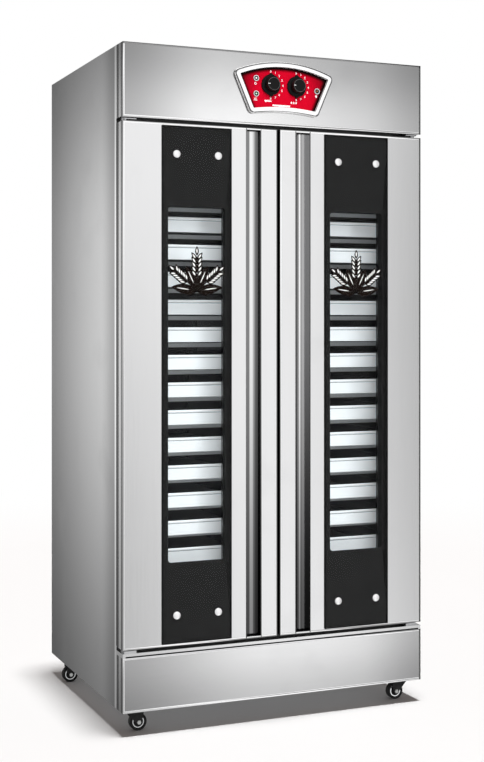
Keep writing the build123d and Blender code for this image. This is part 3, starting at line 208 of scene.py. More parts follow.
class NodeSheet:
    """A node tree that is filled from empty, one node at a time."""

    def __init__(self, tree: bpy.types.NodeTree) -> None:
        """Clear the tree and start on it."""
        self.tree = tree
        self.tree.nodes.clear()

    def add(
        self,
        kind: str,
        settings: Mapping[str, object] | None = None,
        sockets: Mapping[int | str, object] | None = None,
        output: int | str = 0,
    ) -> Wire:
        """Add a node.

        Args:
            kind: the node's type.
            settings: its settings, set first.
            sockets: the value or link of each input.
            output: the output that is handed back.

        Returns:
            The chosen output.
        """
        node = self.tree.nodes.new(kind)
        for name, value in (settings or {}).items():
            setattr(node, name, value)
        for key, value in (sockets or {}).items():
            if isinstance(value, Wire):
                self.tree.links.new(value.socket, node.inputs[key])
            else:
                node.inputs[key].default_value = value
        return Wire(self, node.outputs[output] if node.outputs else None)

    def place(self) -> Wire:
        """The point on the object, in metres."""
        return self.add("ShaderNodeTexCoord", output="Object")

    def stretch(self, vector: Wire, factors: Sequence[float]) -> Wire:
        """A point with its X, Y and Z multiplied by the factors."""
        return self.add("ShaderNodeVectorMath", {"operation": "MULTIPLY"}, {0: vector, 1: tuple(factors)})

    def part(self, vector: Wire, axis: str) -> Wire:
        """The X, Y or Z of a vector."""
        return self.add("ShaderNodeSeparateXYZ", sockets={0: vector}, output=axis)

    def noise(self, vector: Wire, scale: float, detail: float = 2.0) -> Wire:
        """Cloudy noise from nought to one."""
        return self.add("ShaderNodeTexNoise", sockets={"Vector": vector, "Scale": scale, "Detail": detail})

    def strands(self, place: Wire, factors: Sequence[float], detail: float = 3.0) -> Wire:
        """Noise that changes along X, Y and Z as finely as the factors say, per metre."""
        return self.noise(self.stretch(place, factors), 1.0, detail)

    def patches(self, place: Wire, scale: float, low: float, high: float) -> Wire:
        """Scattered soft patches: one inside and nought outside."""
        return self.fade(self.noise(place, scale, 4.0), low, high)

    def length(self, vector: Wire) -> Wire:
        """How long a vector is."""
        return self.add("ShaderNodeVectorMath", {"operation": "LENGTH"}, {0: vector}, output="Value")

    def least(self, first: Wire, second: Wire, rounding: float) -> Wire:
        """The smaller of two numbers, rounded off where they meet."""
        return self.add("ShaderNodeMath", {"operation": "SMOOTH_MIN"}, {0: first, 1: second, 2: rounding})

    def fade(self, value: Wire, low: float, high: float) -> Wire:
        """Nought below low and one above high, with a soft step between."""
        settings = {"interpolation_type": "SMOOTHSTEP"}
        return self.add("ShaderNodeMapRange", settings, {"Value": value, "From Min": low, "From Max": high})

    def between(self, value: Wire, low: float, high: float, edge: float) -> Wire:
        """One between low and high and nought outside, with soft edges."""
        entry = self.fade(value, low - edge, low + edge)
        return entry * (1.0 - self.fade(value, high - edge, high + edge))

    def blend(self, amount: Wire | float, first: Colour | Wire, second: Colour | Wire) -> Wire:
        """A colour between the first and the second."""
        return self.add("ShaderNodeMix", {"data_type": "RGBA"}, {0: amount, 6: first, 7: second}, output=2)

    def bump(self, height: Wire, depth: float, strength: float) -> Wire:
        """A normal that follows a height.

        Args:
            height: the relief, from nought to one.
            depth: how deep one is, in metres.
            strength: how strongly it shows.

        Returns:
            The bumped normal.
        """
        return self.add("ShaderNodeBump", sockets={"Strength": strength, "Distance": depth, "Height": height})

    def principled(self, sockets: Mapping[str, object]) -> Wire:
        """The general surface shader with the given inputs."""
        return self.add("ShaderNodeBsdfPrincipled", sockets=sockets)

    def surface(self, shader: Wire) -> None:
        """Make the shader the material's surface."""
        self.add("ShaderNodeOutputMaterial", sockets={"Surface": shader})

    def skin(self, sockets: Mapping[str, object]) -> None:
        """Make the general surface shader with the given inputs the material's surface."""
        self.surface(self.principled(sockets))

    def mixed(self, amount: Wire, first: Wire, second: Wire) -> None:
        """Make a mix of two shaders the material's surface."""
        self.surface(self.add("ShaderNodeMixShader", sockets={0: amount, 1: first, 2: second}))


@dataclass(frozen=True)
class Finish:
    """A named finish. Each kind below draws its own nodes."""

    name: str

    def draw(self, sheet: NodeSheet) -> None:
        """Draw the finish on an empty sheet."""
        raise NotImplementedError

    def material(self) -> bpy.types.Material:
        """Build the material on first use and reuse it after that."""
        made = bpy.data.materials.get(self.name)
        if made is None:
            made = bpy.data.materials.new(self.name)
            made.use_nodes = True
            self.draw(NodeSheet(made.node_tree))
        return made


class Toning(Protocol):
    """Something that makes a tone lighter or darker from place to place; on a sheet it is painted light and
    shade.
    """

    def level(self, sheet: NodeSheet, place: Wire) -> Wire:
        """The factor on the tone at a place."""


@dataclass(frozen=True)
class Shade:
    """A soft change of tone from one place to another along an axis; on a sheet's colour it is painted light
    and shade.
    """

    axis: str
    low: float
    high: float
    before: float = 1.0
    after: float = 1.0

    def level(self, sheet: NodeSheet, place: Wire) -> Wire:
        """The factor before, between or after the two places."""
        along = sheet.fade(sheet.part(place, self.axis), self.low, self.high)
        return self.before + along * (self.after - self.before)


@dataclass(frozen=True)
class Band:
    """A lighter or darker band between two places along an axis, with short soft edges; on a sheet's colour
    it paints a highlight or a strip of shade.
    """

    axis: str
    low: float
    high: float
    inside: float
    edge: float = 0.4 * MM

    def level(self, sheet: NodeSheet, place: Wire) -> Wire:
        """The factor inside or outside the band."""
        along = sheet.part(place, self.axis)
        return 1.0 - sheet.between(along, self.low, self.high, self.edge) * (1.0 - self.inside)


def combined(tonings: Sequence[Toning], sheet: NodeSheet, place: Wire) -> Wire:
    """The factors of several tonings at a place, multiplied.

    Args:
        tonings: one or more tonings.
        sheet: the sheet that their nodes go on.
        place: the place.

    Returns:
        The product.
    """
    factor = tonings[0].level(sheet, place)
    for toning in tonings[1:]:
        factor = factor * toning.level(sheet, place)
    return factor


@dataclass(frozen=True)
class BrushedSteel(Finish):
    """Stainless sheet with a fine grain, faint clouds and rubbed patches, and painted light and shade from
    its shades.
    """

    tone: Colour = steel_grey(0.66)
    roughness: float = 0.22
    grain: Grain = Grain.UPRIGHT
    relief: float = 0.04 * MM
    metallic: float = 1.0
    shades: tuple[Toning, ...] = ()
    grain_share: float = 0.6
    darkest: float = 0.93
    palest: float = 1.05

    def draw(self, sheet: NodeSheet) -> None:
        """Draw grain, clouds and rubbed patches, then multiply the painted light and shade of the shades into
        the tone.
        """
        place = sheet.place()
        grain = sheet.strands(place, self.grain.value)
        cloud = sheet.noise(place, 2.3, 3.0)
        rubbed = sheet.patches(place, 6.0, 0.52, 0.72)
        amount = grain * self.grain_share + cloud * (1.0 - self.grain_share)
        tone = sheet.blend(amount, scaled(self.tone, self.darkest), scaled(self.tone, self.palest))
        # painted light and shade: the shades darken or lighten the colour from place to place
        if self.shades:
            tone = sheet.blend(combined(self.shades, sheet, place), grey(0.0), tone)
        sheet.skin(
            {
                "Base Color": tone,
                "Metallic": self.metallic,
                "Roughness": self.roughness - 0.05 + grain * 0.07 + rubbed * 0.025,
                "Normal": sheet.bump(grain, self.relief, 0.3),
            }
        )


@dataclass(frozen=True)
class TrayMetal(Finish):
    """Pale tray metal with a painted glow, painted shade behind the front, and a painted shadow line under
    each rim.
    """

    lowest: float
    pitch: float
    front: float
    tone: Colour = (0.95, 0.97, 0.985, 1.0)
    rim_shadow_tone: Colour = (0.22, 0.23, 0.24, 1.0)
    painted_shade_tone: Colour = (0.008, 0.008, 0.01, 1.0)
    rim_shadow_from: float = 33.2 * MM
    rim_shadow_to: float = 35.6 * MM
    rim_shadow_edge: float = 0.4 * MM
    unshaded_depth: float = 12.0 * MM
    painted_shade_depth: float = 17.0 * MM
    painted_glow: float = 0.26

    def draw(self, sheet: NodeSheet) -> None:
        """Draw the grain, the painted shade behind the front, and the painted rim shadow at the same height
        on every tray.
        """
        place = sheet.place()
        turns = (sheet.part(place, "Z") - self.lowest) * (1 / self.pitch)
        height = sheet.add("ShaderNodeMath", {"operation": "FRACT"}, {0: turns}) * self.pitch
        # painted shadow under each rim
        line = sheet.between(height, self.rim_shadow_from, self.rim_shadow_to, self.rim_shadow_edge)
        grain = sheet.strands(place, Grain.LEVEL.value)
        cloud = sheet.noise(place, 9.0, 3.0)
        metal = sheet.blend(grain * 0.5 + cloud * 0.5, scaled(self.tone, 0.92), self.tone)
        tone = sheet.blend(line * 0.8, metal, self.rim_shadow_tone)
        # painted shade: the tray goes nearly black behind its front
        inner_shade = sheet.fade(sheet.part(place, "Y") - self.front, self.unshaded_depth, self.painted_shade_depth)
        tone = sheet.blend(inner_shade, tone, self.painted_shade_tone)
        sheet.skin(
            {
                "Base Color": tone,
                "Metallic": 0.4,
                "Roughness": 0.28 + grain * 0.1,
                # painted glow: the trays emit light though they are no lamp
                "Emission Color": tone,
                "Emission Strength": self.painted_glow,
                "Normal": sheet.bump(grain, 0.04 * MM, 0.3),
            }
        )


@dataclass(frozen=True)
class PolishedMetal(Finish):
    """Bright plating with the faintest waviness and fingerprints."""

    tone: Colour = (0.86, 0.87, 0.88, 1.0)
    roughness: float = 0.07
    metallic: float = 1.0

    def draw(self, sheet: NodeSheet) -> None:
        """Draw plating with faint prints and ripples."""
        place = sheet.place()
        prints = sheet.patches(place, 60.0, 0.5, 0.75)
        ripple = sheet.noise(place, 25.0, 1.0)
        sheet.skin(
            {
                "Base Color": sheet.blend(prints, self.tone, scaled(self.tone, 0.95)),
                "Metallic": self.metallic,
                "Roughness": self.roughness + prints * 0.06,
                "Normal": sheet.bump(ripple, 0.15 * MM, 0.3),
            }
        )


@dataclass(frozen=True)
class Moulded(Finish):
    """Moulded plastic, rubber, ink or paint, with a fine skin and paler worn places."""

    tone: Colour = grey(0.02)
    worn_tone: Colour = grey(0.05)
    roughness: float = 0.4
    metallic: float = 0.0
    specular: float = 0.5

    def draw(self, sheet: NodeSheet) -> None:
        """Draw the skin and the worn places."""
        place = sheet.place()
        skin = sheet.noise(place, 900.0, 2.0)
        worn = sheet.patches(place, 45.0, 0.55, 0.8)
        sheet.skin(
            {
                "Base Color": sheet.blend(worn, self.tone, self.worn_tone),
                "Metallic": self.metallic,
                "Roughness": self.roughness - 0.04 + skin * 0.08 + worn * 0.05,
                "Specular IOR Level": self.specular,
                "Normal": sheet.bump(skin, 0.04 * MM, 0.4),
            }
        )


@dataclass(frozen=True)
class Fibre(Finish):
    """Pressed fibre board with tangled strands."""

    tone: Colour = (0.62, 0.55, 0.33, 1.0)
    tangle: tuple[float, float, float] = (400.0, 120.0, 400.0)

    def draw(self, sheet: NodeSheet) -> None:
        """Draw the tangle as colour and relief."""
        strands = sheet.strands(sheet.place(), self.tangle, 5.0)
        sheet.skin(
            {
                "Base Color": sheet.blend(strands, scaled(self.tone, 0.6), self.tone),
                "Roughness": 0.85 + strands * 0.1,
                "Normal": sheet.bump(strands, MM, 0.8),
            }
        )


@dataclass(frozen=True)
class ClearPane(Finish):
    """Glass that shows what is behind it and mirrors a little, more so at a slant."""

    tint: Colour = (0.982, 0.99, 0.992, 1.0)
    mirror: float = 0.001
    slanting_mirror: float = 0.2

    def draw(self, sheet: NodeSheet) -> None:
        """Draw clear glass with a slanting mirror and a few faint smears."""
        smear = sheet.patches(sheet.place(), 9.0, 0.5, 0.8)
        gloss = sheet.principled(
            {"Base Color": grey(0.95), "Metallic": 1.0, "Roughness": 0.02 + smear * 0.04}
        )
        clear = sheet.add("ShaderNodeBsdfTransparent", sockets={"Color": self.tint})
        slant = sheet.add("ShaderNodeLayerWeight", sockets={"Blend": 0.2}, output="Fresnel")
        sheet.mixed(self.mirror + slant * self.slanting_mirror, clear, gloss)


@dataclass(frozen=True)
class FanShape:
    """The control panel's outline: two arcs and two slanted sides."""

    middle: float
    crown: float
    crown_radius: float = 398.2 * MM
    bottom_radius: float = 652.5 * MM
    bottom_drop: float = 147.0 * MM
    half_width: float = 161.0 * MM
    corner_drop: float = 34.0 * MM
    slant: float = math.radians(23.5)
    rounding: float = 14.0 * MM

    def from_point(self, sheet: NodeSheet, place: Wire, height: float) -> Wire:
        """How far a place is from a point on the middle line."""
        point = (self.middle, 0.0, height)
        offset = sheet.add("ShaderNodeVectorMath", {"operation": "SUBTRACT"}, {0: place, 1: point})
        return sheet.length(sheet.stretch(offset, (1.0, 0.0, 1.0)))

    def from_hood(self, sheet: NodeSheet, place: Wire) -> Wire:
        """How far inside the upper arc and the two sides a place is."""
        top = self.crown_radius - self.from_point(sheet, place, self.crown - self.crown_radius)
        rise = (sheet.part(place, "Z") - (self.crown - self.corner_drop)) * math.sin(self.slant)
        across = sheet.part(place, "X") - self.middle
        left = (across + self.half_width) * math.cos(self.slant) + rise
        right = (self.half_width - across) * math.cos(self.slant) + rise
        return sheet.least(top, sheet.least(left, right, self.rounding), self.rounding)

    def from_outline(self, sheet: NodeSheet, place: Wire) -> Wire:
        """How far inside the whole outline a place is."""
        centre = self.crown - self.bottom_drop - self.bottom_radius
        bottom = self.from_point(sheet, place, centre) - self.bottom_radius
        return sheet.least(self.from_hood(sheet, place), bottom, self.rounding)


@dataclass(frozen=True)
class BezelPlating(Finish):
    """Bright plating with a painted shade line along the bezel's edge for a groove, and a painted dark foot
    shade against the steel.
    """

    shape: FanShape
    front: float
    tone: Colour = steel_grey(0.9)
    groove_shade_from: float = 2.4 * MM
    groove_shade_to: float = 4.0 * MM
    groove_shade_edge: float = 0.6 * MM
    bright_depth: float = 1.5 * MM
    dull_depth: float = 3.0 * MM
    foot_shade_from: float = 8.6 * MM
    foot_shade_to: float = 9.4 * MM

    def draw(self, sheet: NodeSheet) -> None:
        """Draw the plating, the painted groove and foot shade, and a few prints."""
        place = sheet.place()
        inside = self.shape.from_outline(sheet, place)
        # painted shade of a groove near the outer edge
        groove = sheet.between(inside, self.groove_shade_from, self.groove_shade_to, self.groove_shade_edge)
        prints = sheet.patches(place, 60.0, 0.5, 0.75)
        plating = sheet.blend(prints, self.tone, scaled(self.tone, 0.95))
        behind = sheet.part(place, "Y") - self.front
        # painted shade where the bezel's foot meets the steel
        foot = sheet.fade(behind, self.foot_shade_from, self.foot_shade_to)
        sheet.skin(
            {
                "Base Color": sheet.blend(groove + foot, plating, grey(0.08)),
                "Metallic": 1.0 - sheet.fade(behind, self.bright_depth, self.dull_depth) * 0.85,
                "Roughness": 0.07 + prints * 0.06,
            }
        )


@dataclass(frozen=True)
class PrintedFace(Finish):
    """The control panel's coloured face, with painted shade towards its corners and a painted shadow, nearly
    black, under the bezel's upper edge and sides.
    """

    shape: FanShape
    tone: Colour = (0.56, 0.002, 0.018, 1.0)
    corner_shade_tone: Colour = (0.14, 0.001, 0.006, 1.0)
    bezel_shadow_tone: Colour = (0.006, 0.001, 0.001, 1.0)
    heart_drop: float = 100.0 * MM
    even_within: float = 70.0 * MM
    corner_shade_beyond: float = 160.0 * MM
    bezel_shadow_from: float = 18.5 * MM
    bezel_shadow_to: float = 30.5 * MM

    def draw(self, sheet: NodeSheet) -> None:
        """Draw the print, with painted shade towards its corners and a painted shadow along the top and
        sides.
        """
        place = sheet.place()
        inside = self.shape.from_hood(sheet, place)
        spread = self.shape.from_point(sheet, place, self.shape.crown - self.heart_drop)
        # painted shade: darker away from a point under the crown
        deep = sheet.fade(spread, self.even_within, self.corner_shade_beyond)
        face = sheet.blend(deep, self.tone, self.corner_shade_tone)
        # painted shadow of the bezel along the top and sides
        edge = 1.0 - sheet.fade(inside, self.bezel_shadow_from, self.bezel_shadow_to)
        grain = sheet.noise(place, 1500.0, 1.0)
        sheet.skin(
            {
                "Base Color": sheet.blend(edge, face, self.bezel_shadow_tone),
                "Roughness": 0.36 + grain * 0.08,
                "Specular IOR Level": 0.04,
                "Normal": sheet.bump(grain, 0.02 * MM, 0.3),
            }
        )


@dataclass(frozen=True)
class Glow(Finish):
    """A small lens or globe with a soft inner light."""

    tone: Colour = (0.6, 0.9, 0.7, 1.0)
    strength: float = 0.6

    def draw(self, sheet: NodeSheet) -> None:
        """Draw a clear-coated lens, faintly mottled."""
        speck = sheet.noise(sheet.place(), 400.0, 1.0)
        colour = sheet.blend(speck, self.tone, scaled(self.tone, 0.6))
        sheet.skin(
            {
                "Base Color": colour,
                "Roughness": 0.12 + speck * 0.05,
                "Emission Color": colour,
                "Emission Strength": self.strength,
                "Coat Weight": 0.5,
            }
        )


@dataclass(frozen=True)
class PaleFloor(Finish):
    """Smooth pale studio floor that runs out into white."""

    tone: Colour = grey(0.9)
    white_from: float = 2.2
    white_at: float = 5.0

    def draw(self, sheet: NodeSheet) -> None:
        """Draw a nearly even matt floor, and white far from the cabinet."""
        place = sheet.place()
        cloud = sheet.noise(place, 1.5, 2.0)
        colour = sheet.blend(cloud, scaled(self.tone, 0.99), self.tone)
        matt = sheet.principled(
            {"Base Color": colour, "Roughness": 0.7 + cloud * 0.1, "Specular IOR Level": 0.2}
        )
        white = sheet.add("ShaderNodeEmission", sockets={"Color": grey(1.0), "Strength": 1.0})
        sheet.mixed(sheet.fade(sheet.length(place), self.white_from, self.white_at), matt, white)


def left_corner_painted_light(end: float) -> tuple[Toning, ...]:
    """Painted light on a front piece: a painted highlight on its left end, by its factor, and two strips of
    painted shade on its folded side.
    """
    return (
        Shade("X", *LEFT_END_HIGHLIGHT, before=end),
        Band("Y", *FOLD_SHADE_STRIP, inside=0.09),
        Band("Y", *RETURN_SHADE_STRIP, inside=0.12),
    )


class Finishes(Enum):
    """Every finish on the cabinet. The shades paint light and shade into the steel's colour; their places are
    in metres in the cabinet's own frame.
    """

    # Painted reflections: darker towards the top and both ends, with painted shadow under the foot.
    FASCIA = BrushedSteel(
        "fascia_painted_light_steel",
        tone=steel_grey(0.88),
        grain=Grain.LEVEL,
        shades=(
            Shade("Z", 1.72, 1.94, after=0.62),
            Shade("X", -0.5, -0.17, before=0.48),
            Shade("X", -0.17, 0.22, after=0.87),
            Shade("X", 0.28, 0.47, after=0.8),
            # painted shadow on the underside
            Shade("Z", FASCIA_FOOT + 0.1 * MM, FASCIA_FOOT + 1.3 * MM, before=0.015),
            *left_corner_painted_light(2.1),
        ),
    )
    # Painted reflections: darker towards the floor and both ends.
    BASE = BrushedSteel(
        "base_painted_light_steel",
        tone=steel_grey(0.84),
        grain=Grain.LEVEL,
        shades=(
            Shade("Z", 0.06, 0.22, before=0.7),
            Shade("X", -0.55, -0.05, before=0.6),
            Shade("X", 0.25, 0.5, after=0.68),
            *left_corner_painted_light(1.5),
        ),
    )
    SILL = BrushedSteel("sill_steel", tone=steel_grey(0.8), grain=Grain.LEVEL)
    # Painted shade: the front frame, seen only in the gaps, is toned nearly black.
    FRAME = BrushedSteel("front_frame_painted_shade", tone=grey(0.1), roughness=0.3)
    CASING_UPRIGHT = BrushedSteel("casing_steel_upright")
    CASING_BACKWARD = BrushedSteel("casing_steel_backward", grain=Grain.BACKWARD)
    # A painted highlight along the side's front edge, then painted reflection: dark behind it and lighter
    # towards the back.
    SIDE_SHEET = BrushedSteel(
        "side_sheet_painted_light_steel",
        tone=steel_grey(0.95),
        roughness=0.1,
        relief=0.01 * MM,
        shades=(
            Shade("Y", FRONT + 73.0 * MM, FRONT + 76.0 * MM, after=0.335),
            Shade("Y", FRONT + 76.0 * MM, FRONT + 210.0 * MM, after=1.9),
        ),
    )
    # Painted light: painted highlights on the left end and beside each window, and painted shade strips on
    # the folded sides and in the gap between the doors.
    DOOR_SHEET = BrushedSteel(
        "door_sheet_painted_light_steel",
        tone=steel_grey(0.75),
        roughness=0.18,
        shades=(
            Shade("X", *LEFT_END_HIGHLIGHT, before=1.33),
            Band("Y", *FOLD_SHADE_STRIP, inside=0.08),
            Band("Y", FRONT + 37.0 * MM, FRONT + 55.0 * MM, inside=0.03),
            Band("X", -5.8 * MM, 5.8 * MM, inside=0.05, edge=0.3 * MM),
            Band("X", LEFT_GLASS - 6.5 * MM, LEFT_GLASS, inside=1.25, edge=0.3 * MM),
            Band("X", RIGHT_GLASS - 6.5 * MM, RIGHT_GLASS, inside=1.2, edge=0.3 * MM),
        ),
    )
    # Painted reflections in the grip channels: darker towards the bottom, with painted highlights and shade
    # lines across each channel.
    LEFT_HANDLE = BrushedSteel(
        "left_handle_painted_light_steel",
        tone=steel_grey(0.74),
        roughness=0.14,
        shades=(
            Shade("Z", 0.2, 1.25, before=0.27),
            Shade("X", LEFT_GRIP + 17.0 * MM, LEFT_GRIP + 20.0 * MM, before=0.27),
            Shade("X", LEFT_GRIP + 24.5 * MM, LEFT_GRIP + 36.0 * MM, after=0.62),
        ),
    )
    RIGHT_HANDLE = BrushedSteel(
        "right_handle_painted_light_steel",
        tone=steel_grey(0.78),
        roughness=0.14,
        shades=(
            Shade("Z", 0.25, 1.2, before=0.2),
            Shade("X", RIGHT_GRIP + 10.0 * MM, RIGHT_GRIP + 12.0 * MM, before=0.25, after=1.25),
            Shade("X", RIGHT_GRIP + 16.0 * MM, RIGHT_GRIP + 19.0 * MM, after=0.8),
            Shade("X", RIGHT_GRIP + 24.5 * MM, RIGHT_GRIP + 25.5 * MM, after=0.48),
            Band("X", RIGHT_GRIP + 25.6 * MM, RIGHT_GRIP + 27.4 * MM, inside=0.25, edge=0.3 * MM),
            Shade("X", RIGHT_GRIP + 37.5 * MM, RIGHT_GRIP + 39.5 * MM, after=2.1),
            Shade("X", RIGHT_GRIP + 46.3 * MM, RIGHT_GRIP + 46.8 * MM, after=0.06),
        ),
    )
    # Painted shade lines along the right end and the top of the folded edges.
    HEM = BrushedSteel(
        "bright_folded_edge_painted_shade",
        tone=steel_grey(0.93),
        roughness=0.1,
        shades=(
            Shade("X", RIGHT_EDGE - 6.5 * MM, RIGHT_EDGE - 5.2 * MM, after=0.2),
            Shade("Z", TOP_EDGE - 6.5 * MM, TOP_EDGE - 5.3 * MM, after=0.3),
        ),
    )
    HANDLE = BrushedSteel("handle_profile_steel", tone=(0.6, 0.6, 0.61, 1.0), roughness=0.14)
    # Painted shade: the chamber's sheets, racks and pan are toned nearly black, as the inside lies in shade.
    CHAMBER = BrushedSteel("chamber_sheet_painted_shade", tone=steel_grey(0.13), roughness=0.36)
    CROSSBAR = BrushedSteel(
        "crossbar_steel", tone=(0.95, 0.97, 0.99, 1.0), roughness=0.34, grain=Grain.LEVEL, metallic=0.0
    )
    HEATER = BrushedSteel("heater_tube_steel", tone=(0.2, 0.18, 0.17, 1.0), roughness=0.5)
    ZINC = Moulded(
        "zinc_plate", (0.55, 0.56, 0.55, 1.0), (0.44, 0.45, 0.42, 1.0), roughness=0.35, metallic=0.9
    )
    CHROME = PolishedMetal("bright_plating")
    CAP = PolishedMetal("cap_plating", tone=steel_grey(0.9), roughness=0.2, metallic=0.65)
    PANE = ClearPane("clear_pane")
    PRINT = Moulded("dark_glass_print", grey(0.013), grey(0.017), roughness=0.3, specular=0.05)
    SLEEVE = Moulded("window_sleeve", grey(0.006), grey(0.012), roughness=0.6, specular=0.1)
    KNOB = Moulded("knob_plastic", grey(0.006), grey(0.012), roughness=0.35, specular=0.12)
    # Painted highlight: a grey ring on the black grip's face stands in for the glint along its edge.
    KNOB_RING = Moulded("knob_ring", grey(0.12), grey(0.08), roughness=0.3, specular=0.5)
    GASKET = Moulded("gasket_rubber", grey(0.03), grey(0.06), roughness=0.7)
    BUSH = Moulded("pivot_bush_resin", (0.75, 0.75, 0.7, 1.0), (0.65, 0.64, 0.6, 1.0), roughness=0.45)
    FIBRE = Fibre("fibre_board")
    SWITCH = Moulded("switch_housing", (0.12, 0.13, 0.14, 1.0), (0.18, 0.18, 0.19, 1.0), roughness=0.5)
    WIRE = Moulded("loom_cover", grey(0.02), grey(0.05), roughness=0.5)
    GLAND = Moulded("gland_plastic", grey(0.03), grey(0.06), roughness=0.45)
    CASTOR_PAINT = Moulded("castor_paint", grey(0.008), grey(0.02), roughness=0.32, specular=0.2)
    TREAD = Moulded("wheel_tread", grey(0.008), (0.02, 0.019, 0.018, 1.0), roughness=0.55, specular=0.2)
    WHITE_INK = Moulded("white_ink", grey(0.92), grey(0.86), roughness=0.5)
    BLACK_INK = Moulded("black_ink", grey(0.004), grey(0.01), roughness=0.45)
    DARK_INK = Moulded(
        "window_dark_ink",
        (0.007, 0.004, 0.003, 1.0),
        (0.014, 0.008, 0.006, 1.0),
        roughness=0.5,
        specular=0.03,
    )
    PALE_INK = Moulded("window_pale_ink", (0.88, 0.87, 0.85, 1.0), (0.6, 0.57, 0.54, 1.0), roughness=0.5)
    CLEAR_LENS = Glow("clear_lens", (0.9, 0.9, 0.88, 1.0), 0.6)
    GREEN_LENS = Glow("green_lens", (0.55, 0.9, 0.6, 1.0), 0.6)
    AMBER_LENS = Glow("amber_lens", (0.4, 0.16, 0.04, 1.0), 0.3)
    GLOBE = Glow("frosted_globe", (0.9, 0.9, 0.84, 1.0), 0.05)
    FLOOR = PaleFloor("studio_floor")

    def material(self) -> bpy.types.Material:
        """The finish as a material."""
        return self.value.material()


def dress(finish: Finish | Finishes, *nodes: str) -> None:
    """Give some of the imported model's nodes a better material.

    Args:
        finish: what they are made of.
        nodes: the nodes' names.
    """
    material = finish.material()
    for node in nodes:
        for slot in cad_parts[node].material_slots:
            slot.material = material
        LOG.info("dressed %s in %s", node, material.name)


class Relief(Protocol):
    """Something that changes the radius of a turned piece as it goes round."""

    def reach(self, radius: float, along: float, angle: float) -> float:
        """The radius at a place along the axis and an angle around it."""


@dataclass(frozen=True)
class Flutes:
    """Fine grooves around a grip, between two places along its axis."""

    count: int
    depth: float
    low: float
    high: float

    def reach(self, radius: float, along: float, angle: float) -> float:
        """The radius less the groove's depth there."""
        if not self.low <= along <= self.high:
            return radius
        return radius - self.depth * (0.5 - 0.5 * math.cos(self.count * angle))


@dataclass(frozen=True)
class Flats:
    """The flat sides of a nut, on whatever lies outside its bore."""

    count: int
    bore: float

    def reach(self, radius: float, along: float, angle: float) -> float:
        """The distance to the flat side there."""
        if radius <= self.bore:
            return radius
        step = 2 * math.pi / self.count
        return radius * math.cos(step / 2) / math.cos(angle % step - step / 2)


def upright_rectangle(low: Vector, high: Vector, y: float) -> list[Vector]:
    """The four corners of a rectangle that faces forward, at one depth."""
    corners = ((low.x, low.z), (high.x, low.z), (high.x, high.z), (low.x, high.z))
    return [Vector((x, y, z)) for x, z in corners]


def level_rectangle(middle: Vector, half: tuple[float, float], radius: float, steps: int = 6) -> list[Vector]:
    """A level rectangle with rounded corners.

    Args:
        middle: the middle of the rectangle.
        half: half its size along X and Y.
        radius: the corner radius.
        steps: how many steps each corner takes.

    Returns:
        The points in order.
    """
    loop = []
    for corner, (side, end) in enumerate(((1, 1), (-1, 1), (-1, -1), (1, -1))):
        for step in range(steps + 1):
            angle = math.pi / 2 * (corner + step / steps)
            x = side * (half[0] - radius) + radius * math.cos(angle)
            y = end * (half[1] - radius) + radius * math.sin(angle)
            loop.append(middle + Vector((x, y, 0)))
    return loop


def arc(
    middle: Vector, radius: float, start: float, end: float, steps: int, flatten: float = 1.0
) -> list[Vector]:
    """Points on an arc that faces forward.

    Args:
        middle: the arc's middle.
        radius: its radius.
        start: its first angle from +X towards +Z, in degrees.
        end: its last angle.
        steps: how many steps it takes.
        flatten: the height as a share of the width.

    Returns:
        The points in order.
    """
    points = []
    for step in range(steps + 1):
        angle = math.radians(start + (end - start) * step / steps)
        points.append(middle + Vector((radius * math.cos(angle), 0, flatten * radius * math.sin(angle))))
    return points


